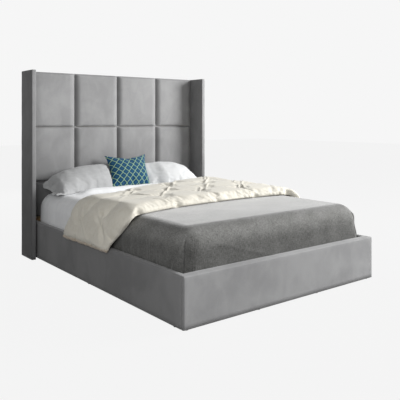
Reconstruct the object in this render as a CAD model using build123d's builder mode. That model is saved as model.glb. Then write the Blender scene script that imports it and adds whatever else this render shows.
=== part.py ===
from build123d import *
import os
from math import cos, hypot, pi, radians, sin

# Wingback bed. X runs across the bed, Y from the foot end (low) to the headboard (high), Z up.
# The origin is on the floor under the middle of the bed. All sizes are in millimetres.

# Mattress and the room that it has in the bed
mattress_width = 1500
mattress_length = 2000
mattress_height = 250
mattress_corner_radius = 70
mattress_edge_radius = 50
mattress_sink = 35
side_gap = 10
foot_gap = 7
head_gap = 3

# Side rails and foot end
rail_thickness = 40
rail_height = 275
floor_gap = 10
foot_thickness = 53
rail_padding = 12
foot_padding = 25
cover_top = 10
cover_skin = 3
cover_lip = 45
cover_edge_radius = 10
foot_corner_radius = 18

# Headboard and wings
headboard_height = 1465
pad_columns = 4
lower_pad_height = 283
pad_edge = 10
shoulder_share = 0.17
pad_bands = 5
crown_shares = [(0.08, 0.6), (0.18, 0.9), (0.28, 1)]
pad_corner_radius = 5
pad_crown = 30
pad_roll = 26
pad_seam_gap = 0.8
lower_pad_gap = 10
frame_depth = 24
stile_width = 45
frame_rail_width = 70
bottom_rail_gap = 40
backing_thickness = 6
backing_gap = 5
back_cover_thickness = 1
edge_cover_thickness = 6
wing_thickness = 34
wing_depth = 222
wing_wall = 8
wing_floor_gap = 3
wing_edge_radius = 7
shadow_gap = 16

# Wing bolts and their threaded nuts
wing_bolt_radius = 4
wing_bolt_head_radius = 7
wing_bolt_head = 5
wing_bolt_inset = 10
insert_nut_radius = 6
insert_nut_length = 14

# Steel corner brackets and their bolts
bracket_leg = 50
bracket_thickness = 3
bracket_height = 120
bracket_bottom = 60
bracket_hole_inset = 30
bracket_hole_pitch = 60
bracket_bolt_radius = 3
bracket_bolt_head_radius = 6
bracket_bolt_head = 4
bracket_bolt_grip = 18

# Slats, ledges and centre beam
slat_count = 14
slat_width = 75
slat_thickness = 20
slat_end_gap = 3
slat_margin = 12
slat_corner_radius = 4
ledge_width = 28
ledge_height = 40
ledge_screw_count = 6
ledge_screw_radius = 2.5
ledge_screw_head_radius = 5
ledge_screw_head = 3
ledge_screw_bite = 17
slat_screw_radius = 2
slat_screw_head_radius = 4
slat_screw_head = 3
slat_screw_sink = 0.5
slat_screw_bite = 15
beam_width = 45
beam_height = 70
hanger_depth = 40
hanger_flange = 20
hanger_height = 66
hanger_hole_pitch = 40

# Centre legs and their levelling feet
leg_count = 3
leg_pitch = 600
leg_width = 45
tenon_radius = 12
tenon_length = 25
foot_pad_radius = 22
foot_pad_height = 10
foot_nut_width = 17
foot_nut_height = 10
stud_radius = 5
stud_grip = 25
levelling_travel = 15

# Glides under the rails, the foot end, the stiles and the wings
glide_radius = 10
wing_glide_radius = 7
rail_glide_count = 3

# Bedding
sheet_thickness = 1.5
top_sheet_thickness = 3
blanket_thickness = 4
blanket_length = 940
top_sheet_tuck = 52
hem_rise = 15
turndown_height = 40
turndown_width = 116
turndown_stand_off = 295
blanket_fold_rise = 8
duvet_depth = 60
duvet_press = 4
tuck_depth = 28
tuck_reach = 75
drape_overlap = 30
left_pillow_end = 95
right_pillow_end = 130
pillow_inset = 15
pillow_run = 270
pillow_rise = 192
pillow_swell = 75
pillow_edge = 3
cushion_width = 409
cushion_run = 230
cushion_rise = 262
cushion_swell = 58
cushion_draw = 16
cushion_offset = 18
cushion_stand_off = 56

# Clearances, and one overrun for every cut
cloth_gap = 0.3
hole_gap = 0.15
beam_gap = 0.3
thread_gap = 0.2
cut_over = 5

# Places across the bed
mattress_side = mattress_width / 2
rail_inner = mattress_side + side_gap
rail_outer = rail_inner + rail_thickness
wing_inner = rail_outer + shadow_gap
wing_outer = wing_inner + wing_thickness
board_inner = rail_inner + cover_skin
board_outer = rail_outer - rail_padding
stile_inner = wing_inner - stile_width

# Places along the bed
bed_length = (
    foot_thickness + foot_gap + mattress_length + head_gap
    + pad_crown + backing_thickness + frame_depth + back_cover_thickness
)
back_y = bed_length / 2
foot_outer = -back_y
foot_inner = foot_outer + foot_thickness
foot_board_inner = foot_inner - cover_skin
mattress_foot = foot_inner + foot_gap
mattress_head = mattress_foot + mattress_length
pad_front = mattress_head + head_gap
backing_front = pad_front + pad_crown
frame_front = backing_front + backing_thickness
frame_back = frame_front + frame_depth
wing_front = back_y - wing_depth

# Heights above the floor
rail_top = floor_gap + rail_height
board_bottom = floor_gap + cover_skin
board_top = rail_top - cover_top
slat_top = rail_top - mattress_sink
ledge_top = slat_top - slat_thickness
ledge_bottom = ledge_top - ledge_height
beam_bottom = ledge_top - beam_height
mattress_top = slat_top + mattress_height
frame_top = headboard_height - edge_cover_thickness
backing_bottom = rail_top + backing_gap
lower_pad_bottom = backing_bottom + lower_pad_gap
lower_seam = lower_pad_bottom + lower_pad_height
pad_height = (headboard_height - lower_seam) / 2
upper_seam = lower_seam + pad_height
leg_bottom = foot_pad_height + foot_nut_height
sheet_rise = cloth_gap + sheet_thickness
blanket_inside = sheet_rise + cloth_gap
blanket_outside = blanket_inside + blanket_thickness
duvet_inside = blanket_outside + cloth_gap
top_sheet_outside = blanket_inside + top_sheet_thickness
pillow_floor = mattress_top + top_sheet_outside + cloth_gap
hem_z = slat_top + hem_rise

os.makedirs("parts", exist_ok=True)


def save(piece, node):
    """Label a finished piece and write its file."""
    piece.part.label = node
    export_step(piece.part, f"parts/{node}.step")


def save_pair(piece, node):
    """Save a right-hand piece, and its mirror image as the left-hand one."""
    with BuildPart() as twin:
        mirror(piece.part, about=Plane.YZ)
    save(piece, f"right_{node}")
    save(twin, f"left_{node}")


def block(x, y, z, mode=Mode.ADD):
    """A straight block; x, y and z each give a low and a high place."""
    with BuildSketch(Plane.XY.offset(z[0])) as base:
        with Locations(((x[0] + x[1]) / 2, (y[0] + y[1]) / 2)):
            Rectangle(x[1] - x[0], y[1] - y[0])
    extrude(base.sketch, amount=z[1] - z[0], mode=mode)


def rods_along_x(radius, x, places, mode=Mode.ADD):
    """Round rods or holes along X at a list of (y, z) places."""
    with BuildSketch(Plane.YZ.offset(x[0])) as ends:
        with Locations(*places):
            Circle(radius)
    extrude(ends.sketch, amount=x[1] - x[0], mode=mode)


def rods_along_y(radius, y, places, mode=Mode.ADD):
    """Round rods or holes along Y at a list of (x, z) places."""
    with BuildSketch(Plane.XZ.offset(-y[1])) as ends:
        with Locations(*places):
            Circle(radius)
    extrude(ends.sketch, amount=y[1] - y[0], mode=mode)


def rods_along_z(radius, z, places, mode=Mode.ADD):
    """Round rods or holes along Z at a list of (x, y) places."""
    with BuildSketch(Plane.XY.offset(z[0])) as ends:
        with Locations(*places):
            Circle(radius)
    extrude(ends.sketch, amount=z[1] - z[0], mode=mode)


def spread(first, last, count):
    """Evenly spaced places from first to last."""
    return [first + (last - first) * step / (count - 1) for step in range(count)]


# Bolt places of the corner brackets: heights, and places along and across the bed
bracket_middle = bracket_bottom + bracket_height / 2
bracket_heights = [bracket_middle - bracket_hole_pitch / 2, bracket_middle + bracket_hole_pitch / 2]
foot_bolt_y = foot_board_inner + bracket_hole_inset
head_bolt_y = frame_front - bracket_hole_inset
bracket_bolt_x = board_inner - bracket_hole_inset
rail_bolt_places = [(y, z) for y in (foot_bolt_y, head_bolt_y) for z in bracket_heights]
end_bolt_places = [(side * bracket_bolt_x, z) for side in (-1, 1) for z in bracket_heights]
hanger_bolt_z = beam_bottom + hanger_height / 2
hanger_bolt_x = beam_width / 2 + hanger_flange / 2 + bracket_thickness
hanger_bolt_places = [
    (side * hanger_bolt_x, hanger_bolt_z + up * hanger_hole_pitch / 2) for side in (-1, 1) for up in (-1, 1)
]
bracket_hole = bracket_bolt_radius + hole_gap

# Slat places along the bed, and the screws that hold slats and ledges
slat_first = foot_inner + slat_margin + slat_width / 2
slat_last = frame_front - slat_margin - slat_width / 2
slat_places = spread(slat_first, slat_last, slat_count)
ledge_middle_x = rail_inner - ledge_width / 2 + cover_skin
ledge_middle_z = ledge_bottom + ledge_height / 2
slat_pitch = slat_places[1] - slat_places[0]
ledge_screw_y = spread(slat_first + slat_pitch / 2, slat_last - slat_pitch / 2, ledge_screw_count)
ledge_screw_places = [(y, ledge_middle_z) for y in ledge_screw_y]
slat_screw_places = [(side * ledge_middle_x, y) for side in (-1, 1) for y in slat_places]

# Headboard frame: two outer stiles that stand on glides, with holes for the wing bolts
lower_rail_span = (lower_seam - frame_rail_width / 2, lower_seam + frame_rail_width / 2)
middle_rail_span = (upper_seam - frame_rail_width / 2, upper_seam + frame_rail_width / 2)
top_rail_bottom = frame_top - frame_rail_width
wing_bolt_y = frame_front + wing_bolt_inset
wing_bolt_heights = [
    (rail_top + lower_rail_span[0]) / 2,
    (lower_rail_span[1] + middle_rail_span[0]) / 2,
    (middle_rail_span[1] + top_rail_bottom) / 2,
]
wing_bolt_places = [(wing_bolt_y, z) for z in wing_bolt_heights]
frame_y = (frame_front, frame_back)

with BuildPart() as stile:
    block((stile_inner, wing_inner), frame_y, (floor_gap, frame_top))
    rods_along_x(
        wing_bolt_radius + hole_gap, (stile_inner - cut_over, wing_inner + cut_over),
        wing_bolt_places, Mode.SUBTRACT,
    )
save_pair(stile, "headboard_stile")

centre_half = frame_rail_width / 2
with BuildPart() as centre_stile:
    block((-centre_half, centre_half), frame_y, (rail_top, top_rail_bottom))
save(centre_stile, "headboard_centre_stile")

with BuildPart() as top_rail:
    block((-stile_inner, stile_inner), frame_y, (top_rail_bottom, frame_top))
save(top_rail, "headboard_top_rail")

# Cross rails behind the two rows of seams, one each side of the centre stile
for node, height_span in (
    ("headboard_middle_rails", middle_rail_span),
    ("headboard_lower_rails", lower_rail_span),
):
    with BuildPart() as cross_rails:
        block((centre_half, stile_inner), frame_y, height_span)
        block((-stile_inner, -centre_half), frame_y, height_span)
    save(cross_rails, node)

# Bottom rail: carries the head brackets and the head end of the centre beam
with BuildPart() as bottom_rail:
    block((-stile_inner, stile_inner), frame_y, (bottom_rail_gap, rail_top))
    rods_along_y(
        bracket_hole, (frame_front - cut_over, frame_front + bracket_bolt_grip + cut_over),
        end_bolt_places + hanger_bolt_places, Mode.SUBTRACT,
    )
save(bottom_rail, "headboard_bottom_rail")

with BuildPart() as backing_board:
    block((-wing_inner, wing_inner), (backing_front, frame_front), (backing_bottom, frame_top))
save(backing_board, "headboard_backing_board")

with BuildPart() as back_cover:
    block((-wing_inner, wing_inner), (frame_back, back_y), (bottom_rail_gap, frame_top))
save(back_cover, "headboard_back_cover")

# Padded strip over the top edge, rounded along its front and back
with BuildPart() as edge_cover:
    block((-wing_inner, wing_inner), (backing_front, back_y), (frame_top, headboard_height))
    fillet(edge_cover.edges().filter_by(Axis.X).group_by(Axis.Z)[-1], edge_cover_thickness / 3)
save(edge_cover, "headboard_edge_cover")


def padded_panel(node, x, z):
    """A pad stapled to the backing board: short straight sides, rolled shoulders and a low crown."""
    width = x[1] - x[0]
    height = z[1] - z[0]
    shoulder = pad_crown - pad_roll * shoulder_share
    steps = []
    for angle in spread(0, pi / 2, pad_bands):
        # how far the outline is drawn in, and its depth in front of the backing board
        steps.append((pad_roll * (1 - cos(angle)), pad_edge + (shoulder - pad_edge) * sin(angle)))
    for inset_share, rise_share in crown_shares:
        inset = pad_roll + min(width, height) * inset_share
        steps.append((inset, shoulder + (pad_crown - shoulder) * rise_share))
    with BuildPart() as panel:
        with BuildSketch(Plane.XZ.offset(-backing_front)) as back:
            with Locations(((x[0] + x[1]) / 2, (z[0] + z[1]) / 2)):
                RectangleRounded(width, height, pad_corner_radius)
        extrude(back.sketch, amount=pad_edge)
        for inset, depth in steps:
            with BuildSketch(Plane.XZ.offset(depth - backing_front)):
                with Locations(((x[0] + x[1]) / 2, (z[0] + z[1]) / 2)):
                    RectangleRounded(width - 2 * inset, height - 2 * inset, pad_corner_radius + inset / 4)
        loft(ruled=True)
    save(panel, node)


# Eight sewn pads in two rows, and the plain lower pad behind the mattress
pad_width = 2 * wing_inner / pad_columns
half_seam = pad_seam_gap / 2
for row, row_bottom in (("upper", upper_seam), ("middle", lower_seam)):
    for column in range(pad_columns):
        pad_left = -wing_inner + column * pad_width
        padded_panel(
            f"{row}_pad_{column + 1}",
            (pad_left + half_seam, pad_left + pad_width - half_seam),
            (row_bottom + half_seam, row_bottom + pad_height - half_seam),
        )
padded_panel(
    "lower_pad", (-wing_inner + half_seam, wing_inner - half_seam), (lower_pad_bottom, lower_seam - half_seam)
)

# Wings: a board inside a padded cover that is open underneath
wing_y = (wing_front, back_y)
wing_board_x = (wing_inner + wing_wall, wing_outer - wing_wall)
wing_board_z = (wing_floor_gap, headboard_height - wing_wall)
wing_board_y = (wing_front + wing_wall, back_y - cover_skin)
nut_pocket = (wing_board_x[0], wing_board_x[0] + insert_nut_length)

with BuildPart() as wing_board:
    block(wing_board_x, wing_board_y, wing_board_z)
    rods_along_x(insert_nut_radius + hole_gap, nut_pocket, wing_bolt_places, Mode.SUBTRACT)
save_pair(wing_board, "wing_board")

with BuildPart() as wing_cover:
    block((wing_inner, wing_outer), wing_y, (wing_floor_gap, headboard_height))
    fillet(wing_cover.edges().filter_by(Axis.Z), wing_edge_radius)
    fillet(wing_cover.faces().sort_by(Axis.Z)[-1].edges(), wing_edge_radius)
    block(wing_board_x, wing_board_y, (wing_floor_gap - cut_over, wing_board_z[1]), Mode.SUBTRACT)
    rods_along_x(
        wing_bolt_radius + hole_gap, (wing_inner - cut_over, wing_board_x[0]), wing_bolt_places, Mode.SUBTRACT
    )
save_pair(wing_cover, "wing_cover")

with BuildPart() as wing_bolts:
    rods_along_x(wing_bolt_radius, (stile_inner, nut_pocket[1]), wing_bolt_places)
    rods_along_x(wing_bolt_head_radius, (stile_inner - wing_bolt_head, stile_inner), wing_bolt_places)
    mirror(about=Plane.YZ)
save(wing_bolts, "wing_bolts")

with BuildPart() as wing_nuts:
    rods_along_x(insert_nut_radius, nut_pocket, wing_bolt_places)
    rods_along_x(
        wing_bolt_radius + hole_gap, (nut_pocket[0] - cut_over, nut_pocket[1] + cut_over),
        wing_bolt_places, Mode.SUBTRACT,
    )
    mirror(about=Plane.YZ)
save(wing_nuts, "wing_insert_nuts")

# Side rails: a board with bolt and screw holes, in a padded cover that is open on the inside
rail_y = (foot_inner, frame_front)
with BuildPart() as rail_board:
    block((board_inner, board_outer), rail_y, (board_bottom, board_top))
    rods_along_x(
        bracket_hole, (board_inner - cut_over, board_inner + bracket_bolt_grip + cut_over),
        rail_bolt_places, Mode.SUBTRACT,
    )
    rods_along_x(
        ledge_screw_radius + hole_gap, (board_inner - cut_over, board_inner + ledge_screw_bite + hole_gap),
        ledge_screw_places, Mode.SUBTRACT,
    )
save_pair(rail_board, "rail_board")

window_z = (floor_gap + cover_lip, rail_top - cover_lip)
with BuildPart() as rail_cover:
    block((rail_inner, rail_outer), rail_y, (floor_gap, rail_top))
    long_edges = rail_cover.edges().filter_by(Axis.Y)
    fillet(long_edges.group_by(Axis.X)[-1].sort_by(Axis.Z)[-1], cover_edge_radius)
    fillet(long_edges.group_by(Axis.X)[0].sort_by(Axis.Z)[-1], cover_edge_radius / 2)
    fillet(long_edges.group_by(Axis.X)[-1].sort_by(Axis.Z)[0], cover_skin)
    block((board_inner, board_outer), (foot_inner - cut_over, frame_front + cut_over),
          (board_bottom, board_top), Mode.SUBTRACT)
    block((rail_inner - cut_over, board_inner), (foot_inner - cut_over, frame_front + cut_over),
          window_z, Mode.SUBTRACT)
save_pair(rail_cover, "rail_cover")

# Foot end: a board in a padded cover with rounded corners, open on the inside between the rails
foot_board_y = (foot_outer + foot_padding, foot_board_inner)
with BuildPart() as foot_board:
    block((-board_outer, board_outer), foot_board_y, (board_bottom, board_top))
    rods_along_y(
        bracket_hole, (foot_board_inner - bracket_bolt_grip - cut_over, foot_board_inner + cut_over),
        end_bolt_places + hanger_bolt_places, Mode.SUBTRACT,
    )
save(foot_board, "foot_board")

with BuildPart() as foot_cover:
    block((-rail_outer, rail_outer), (foot_outer, foot_inner), (floor_gap, rail_top))
    fillet(foot_cover.edges().filter_by(Axis.Z).group_by(Axis.Y)[0], foot_corner_radius)
    fillet(foot_cover.faces().sort_by(Axis.Z)[-1].edges().sort_by(Axis.Y)[:-1], cover_edge_radius)
    block((-board_outer, board_outer), foot_board_y, (board_bottom, board_top), Mode.SUBTRACT)
    block((-board_inner, board_inner), (foot_board_inner, foot_inner + cut_over), window_z, Mode.SUBTRACT)
save(foot_cover, "foot_cover")


def corner_bracket(node, corner_y, inward):
    """Steel angle in the corner of a rail and an end, as a pair; inward is +1 at the foot, -1 at the head."""
    with BuildPart() as bracket:
        with BuildSketch(Plane.XY.offset(bracket_bottom)):
            with BuildLine():
                Polyline(
                    (board_inner, corner_y),
                    (board_inner, corner_y + inward * bracket_leg),
                    (board_inner - bracket_thickness, corner_y + inward * bracket_leg),
                    (board_inner - bracket_thickness, corner_y + inward * bracket_thickness),
                    (board_inner - bracket_leg, corner_y + inward * bracket_thickness),
                    (board_inner - bracket_leg, corner_y),
                    close=True,
                )
            make_face()
        extrude(amount=bracket_height)
        inside_corner = bracket.edges().filter_by(Axis.Z).sort_by_distance(
            (board_inner - bracket_thickness, corner_y + inward * bracket_thickness, bracket_middle)
        )[0]
        fillet(inside_corner, bracket_thickness)
        rods_along_x(
            bracket_hole, (board_inner - bracket_leg / 2, board_inner + cut_over),
            [(corner_y + inward * bracket_hole_inset, z) for z in bracket_heights], Mode.SUBTRACT,
        )
        leg_side = sorted((corner_y - inward * cut_over, corner_y + inward * bracket_leg / 2))
        rods_along_y(bracket_hole, leg_side, [(bracket_bolt_x, z) for z in bracket_heights], Mode.SUBTRACT)
    save_pair(bracket, node)


corner_bracket("foot_corner_bracket", foot_board_inner, 1)
corner_bracket("head_corner_bracket", frame_front, -1)


def beam_hanger(node, wall_y, inward):
    """Steel hanger that holds one end of the centre beam: back plate, two cheeks and a shelf."""
    plate_half = beam_width / 2 + bracket_thickness + hanger_flange
    cheek_outer = beam_width / 2 + beam_gap + bracket_thickness
    shelf_bottom = beam_bottom - bracket_thickness
    plate_y = sorted((wall_y, wall_y + inward * bracket_thickness))
    cradle_y = sorted((wall_y, wall_y + inward * hanger_depth))
    inner_y = sorted((wall_y + inward * bracket_thickness, wall_y + inward * (hanger_depth + cut_over)))
    with BuildPart() as hanger:
        block((-plate_half, plate_half), plate_y, (shelf_bottom, shelf_bottom + hanger_height))
        block((-cheek_outer, cheek_outer), cradle_y, (shelf_bottom, shelf_bottom + hanger_height))
        block((bracket_thickness - cheek_outer, cheek_outer - bracket_thickness), inner_y,
              (beam_bottom, ledge_top), Mode.SUBTRACT)
        hole_y = (plate_y[0] - cut_over, plate_y[1] + cut_over)
        rods_along_y(bracket_hole, hole_y, hanger_bolt_places, Mode.SUBTRACT)
    save(hanger, node)


beam_hanger("foot_beam_hanger", foot_board_inner, 1)
beam_hanger("head_beam_hanger", frame_front, -1)

# Bolts of the corner brackets and of the beam hangers
foot_face = foot_board_inner + bracket_thickness
head_face = frame_front - bracket_thickness
side_face = board_inner - bracket_thickness
with BuildPart() as bracket_bolts:
    rods_along_x(bracket_bolt_radius, (side_face, board_inner + bracket_bolt_grip), rail_bolt_places)
    rods_along_x(bracket_bolt_head_radius, (side_face - bracket_bolt_head, side_face), rail_bolt_places)
    mirror(about=Plane.YZ)
    end_places = end_bolt_places + hanger_bolt_places
    rods_along_y(bracket_bolt_radius, (foot_board_inner - bracket_bolt_grip, foot_face), end_places)
    rods_along_y(bracket_bolt_head_radius, (foot_face, foot_face + bracket_bolt_head), end_places)
    rods_along_y(bracket_bolt_radius, (head_face, frame_front + bracket_bolt_grip), end_places)
    rods_along_y(bracket_bolt_head_radius, (head_face - bracket_bolt_head, head_face), end_places)
save(bracket_bolts, "bracket_bolts")

# Slat ledges along the rails, bored for their own screws and for the slat screws
ledge_x = (board_inner - ledge_width, board_inner)
ledge_y = (foot_inner + slat_end_gap, frame_front - slat_end_gap)
slat_screw_tip = ledge_top - slat_screw_bite
with BuildPart() as ledge:
    block(ledge_x, ledge_y, (ledge_bottom, ledge_top))
    rods_along_x(
        ledge_screw_radius + hole_gap, (ledge_x[0] - cut_over, ledge_x[1] + cut_over),
        ledge_screw_places, Mode.SUBTRACT,
    )
    rods_along_z(
        slat_screw_radius + hole_gap, (slat_screw_tip - hole_gap, ledge_top + cut_over),
        [(ledge_middle_x, y) for y in slat_places], Mode.SUBTRACT,
    )
save_pair(ledge, "slat_ledge")

with BuildPart() as ledge_screws:
    rods_along_x(ledge_screw_radius, (ledge_x[0], board_inner + ledge_screw_bite), ledge_screw_places)
    rods_along_x(ledge_screw_head_radius, (ledge_x[0] - ledge_screw_head, ledge_x[0]), ledge_screw_places)
    mirror(about=Plane.YZ)
save(ledge_screws, "ledge_screws")

# Slats across the bed, counterbored at both ends for their screws
slat_half = rail_inner - slat_end_gap
screw_seat = slat_top - slat_screw_sink - slat_screw_head
with BuildPart() as slats:
    with BuildSketch(Plane.XY.offset(ledge_top)):
        with Locations(*[(0, y) for y in slat_places]):
            RectangleRounded(2 * slat_half, slat_width, slat_corner_radius)
    extrude(amount=slat_thickness)
    rods_along_z(
        slat_screw_radius + hole_gap, (ledge_top - cut_over, slat_top), slat_screw_places, Mode.SUBTRACT
    )
    rods_along_z(
        slat_screw_head_radius + hole_gap, (screw_seat, slat_top + cut_over), slat_screw_places, Mode.SUBTRACT
    )
save(slats, "slats")

with BuildPart() as slat_screws:
    rods_along_z(slat_screw_radius, (slat_screw_tip, screw_seat), slat_screw_places)
    rods_along_z(slat_screw_head_radius, (screw_seat, screw_seat + slat_screw_head), slat_screw_places)
save(slat_screws, "slat_screws")

# Centre beam under the slats, mortised for the tenons of the centre legs
leg_places = [(step - (leg_count - 1) / 2) * leg_pitch for step in range(leg_count)]
with BuildPart() as centre_beam:
    block(
        (-beam_width / 2, beam_width / 2),
        (foot_face, head_face),
        (beam_bottom, ledge_top),
    )
    rods_along_z(
        tenon_radius + hole_gap, (beam_bottom - cut_over, beam_bottom + tenon_length + hole_gap),
        [(0, y) for y in leg_places], Mode.SUBTRACT,
    )
save(centre_beam, "centre_beam")

# Centre legs with a bore for the stud of a levelling foot, and the feet screwed in to their stop
stud_length = stud_grip + levelling_travel
leg_half = leg_width / 2
for number, leg_y in enumerate(leg_places, start=1):
    with BuildPart() as centre_leg:
        block((-leg_half, leg_half), (leg_y - leg_half, leg_y + leg_half), (leg_bottom, beam_bottom))
        rods_along_z(tenon_radius, (beam_bottom, beam_bottom + tenon_length), [(0, leg_y)])
        rods_along_z(
            stud_radius + thread_gap, (leg_bottom - cut_over, leg_bottom + stud_length + thread_gap),
            [(0, leg_y)], Mode.SUBTRACT,
        )
    save(centre_leg, f"centre_leg_{number}")

    with BuildPart() as levelling_foot:
        rods_along_z(foot_pad_radius, (0, foot_pad_height), [(0, leg_y)])
        fillet(levelling_foot.edges().filter_by(GeomType.CIRCLE).sort_by(Axis.Z)[-1], foot_pad_height / 4)
        with BuildSketch(Plane.XY.offset(foot_pad_height)):
            with Locations((0, leg_y)):
                RegularPolygon(foot_nut_width / 2, 6, major_radius=False)
        extrude(amount=foot_nut_height)
        rods_along_z(stud_radius, (foot_pad_height, leg_bottom + stud_length), [(0, leg_y)])
    save(levelling_foot, f"levelling_foot_{number}")

# Plastic glides between the floor and the rails, the foot end and the stiles
rail_middle_x = (rail_inner + rail_outer) / 2
foot_middle_y = (foot_outer + foot_inner) / 2
rail_glide_y = spread(foot_inner + stile_width, frame_front - stile_width, rail_glide_count)
glide_places = [(rail_middle_x, y) for y in rail_glide_y]
glide_places += [(rail_middle_x - foot_corner_radius, foot_middle_y), (mattress_side / 3, foot_middle_y)]
glide_places += [(wing_inner - stile_width / 2, frame_front + frame_depth / 2)]
with BuildPart() as glides:
    rods_along_z(glide_radius, (0, floor_gap), glide_places)
    mirror(about=Plane.YZ)
save(glides, "floor_glides")

# Thin glides under the wing boards
wing_middle_x = (wing_inner + wing_outer) / 2
wing_glide_y = (wing_front + stile_width / 2, back_y - stile_width / 2)
with BuildPart() as wing_glides:
    rods_along_z(wing_glide_radius, (0, wing_floor_gap), [(wing_middle_x, y) for y in wing_glide_y])
    mirror(about=Plane.YZ)
save(wing_glides, "wing_glides")


def mattress_form(grow, bottom):
    """The mattress shape grown outwards all round, from a given height up to its rounded top edge."""
    with BuildPart() as form:
        with BuildSketch(Plane.XY.offset(bottom)):
            with Locations((0, (mattress_foot + mattress_head) / 2)):
                RectangleRounded(
                    mattress_width + 2 * grow, mattress_length + 2 * grow, mattress_corner_radius + grow
                )
        extrude(amount=mattress_top + grow - bottom)
        fillet(form.faces().sort_by(Axis.Z)[-1].edges(), mattress_edge_radius + grow)
    return form.part


# Mattress, and the forms that the bedding on it is cut from
mattress_body = mattress_form(0, slat_top)
fitted_outside_form = mattress_form(sheet_rise, hem_z)
fitted_inside_form = mattress_form(cloth_gap, hem_z - cut_over)
blanket_outside_form = mattress_form(blanket_outside, hem_z)
blanket_inside_form = mattress_form(blanket_inside, hem_z - cut_over)
top_sheet_outside_form = mattress_form(top_sheet_outside, hem_z)
duvet_inside_form = mattress_form(duvet_inside, slat_top)

with BuildPart() as mattress:
    add(mattress_body)
    fillet(mattress.faces().sort_by(Axis.Z)[0].edges(), mattress_edge_radius / 2)
save(mattress, "mattress")

# Fitted sheet: a thin skin over the mattress, open underneath
with BuildPart() as fitted_sheet:
    add(fitted_outside_form)
    add(fitted_inside_form, mode=Mode.SUBTRACT)
save(fitted_sheet, "fitted_sheet")


def cut_along(low, high):
    """Take away all of a bedding piece between two places along the bed."""
    block((-wing_outer, wing_outer), (low, high), (0, headboard_height), Mode.SUBTRACT)


def lens_section(x, low, high, front, back):
    """Section of a soft piece across X: two arcs that meet at a low and a high (y, z) point."""
    run, rise = high[0] - low[0], high[1] - low[1]
    span = hypot(run, rise)
    out_y, out_z = -rise / span, run / span
    middle_y, middle_z = (low[0] + high[0]) / 2, (low[1] + high[1]) / 2
    with BuildSketch(Plane.YZ.offset(x)) as section:
        with BuildLine() as outline:
            ThreePointArc(low, (middle_y + out_y * front, middle_z + out_z * front), high)
            ThreePointArc(high, (middle_y - out_y * back, middle_z - out_z * back), low)
        make_face(outline.edges())
    return section.sketch


# Blanket over the foot half: tucked in all round, with soft upright folds on its sides
blanket_end = mattress_foot + blanket_length
blanket_face = mattress_side + blanket_outside
fold_bottom = rail_top + blanket_fold_rise
fold_top = mattress_top - mattress_edge_radius - blanket_fold_rise
fold_fade_shares = (1, 0.8, 0.3)
fold_shares = [
    # place along the blanket, width and depth, as shares of its length and of the rail's thickness
    (0.104, 1.35, 0.28),
    (0.175, 1.6, 0.16),
    (0.255, 1.7, 0.2),
    (0.345, 1.5, 0.16),
    (0.430, 1.3, 0.13),
]


def blanket_fold(place_share, width_share, depth_share):
    """One upright fold on the right side of the blanket, fading out upwards."""
    y = mattress_foot + place_share * blanket_length
    half = width_share * rail_thickness / 2
    depth = depth_share * rail_thickness
    root = blanket_face - blanket_thickness / 4
    heights = (fold_bottom, (fold_bottom + fold_top) / 2, fold_top)
    with BuildPart() as fold:
        for z, fade in zip(heights, fold_fade_shares):
            with BuildSketch(Plane.XY.offset(z)):
                with BuildLine():
                    Line((root, y - half * fade), (root, y + half * fade))
                    ThreePointArc((root, y + half * fade), (root + depth * fade, y), (root, y - half * fade))
                make_face()
        loft()
    return fold.part


blanket_folds = [blanket_fold(*shares) for shares in fold_shares]
with BuildPart() as blanket:
    add(blanket_outside_form)
    add(blanket_folds)
    add(blanket_inside_form, mode=Mode.SUBTRACT)
    cut_along(blanket_end, back_y)
    split(bisect_by=Plane.YZ, keep=Keep.TOP)
    mirror(about=Plane.YZ)
save(blanket, "blanket")

# Top sheet from the blanket's end to under the pillows, with its puffed turned-down edge
top_sheet_foot = blanket_end + cloth_gap
turndown_head = pad_front - turndown_stand_off
turndown_shares = [
    # place across the bed and height of the turned-down edge, as shares of their sizes
    (-0.76, 0.1),
    (-0.62, 0.8),
    (-0.30, 1.0),
    (0.05, 1.0),
    (0.28, 0.7),
    (0.37, 0.1),
]
with BuildPart() as top_sheet:
    add(top_sheet_outside_form)
    add(blanket_inside_form, mode=Mode.SUBTRACT)
    cut_along(foot_outer, top_sheet_foot)
    cut_along(turndown_head + top_sheet_tuck, back_y)
    turndown_z = mattress_top + top_sheet_outside - top_sheet_thickness / 4
    turndown_sections = [
        lens_section(
            across * mattress_side,
            (turndown_head - turndown_width, turndown_z),
            (turndown_head, turndown_z),
            high * turndown_height,
            top_sheet_thickness / 4,
        )
        for across, high in turndown_shares
    ]
    loft(turndown_sections)
save(top_sheet, "top_sheet")

# Duvet folded into a band across the bed, hanging down both sides over the rails. A station on a
# drape is the turn of its section in degrees and its place. The shares are its foot and head edges
# along the mattress and its thickness, and on top of the bed its place across comes first. The
# sections start a little inside the bedding below, and the duvet is then cut to rest on it.
bend_x = mattress_side - mattress_edge_radius
bend_z = mattress_top - mattress_edge_radius
bend_radius = mattress_edge_radius + duvet_inside - duvet_press
rail_side = rail_outer + cloth_gap
drape_hem = rail_top - drape_overlap
drape_middle = (rail_top + bend_z) / 2
duvet_dip_share = 0.86
duvet_edge_share = 0.42
drape_stations = [
    (90, rail_side, drape_hem),
    (90, rail_side, rail_top + duvet_press),
    (90, bend_x + bend_radius + 3 * duvet_press, drape_middle + drape_overlap),
    (75, bend_x, bend_z),
    (40, bend_x, bend_z),
]
left_drape_shares = [
    (0.362, 0.671, 0.40),
    (0.350, 0.668, 0.50),
    (0.301, 0.646, 0.78),
    (0.268, 0.622, 0.88),
    (0.261, 0.608, 0.92),
]
top_shares = [
    (-0.914, 0.270, 0.596, 0.97),
    (-0.571, 0.303, 0.639, 1.0),
    (-0.143, 0.320, 0.713, 1.0),
    (0.286, 0.328, 0.766, 1.0),
    (0.629, 0.323, 0.808, 1.0),
    (0.914, 0.311, 0.842, 0.97),
]
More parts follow.
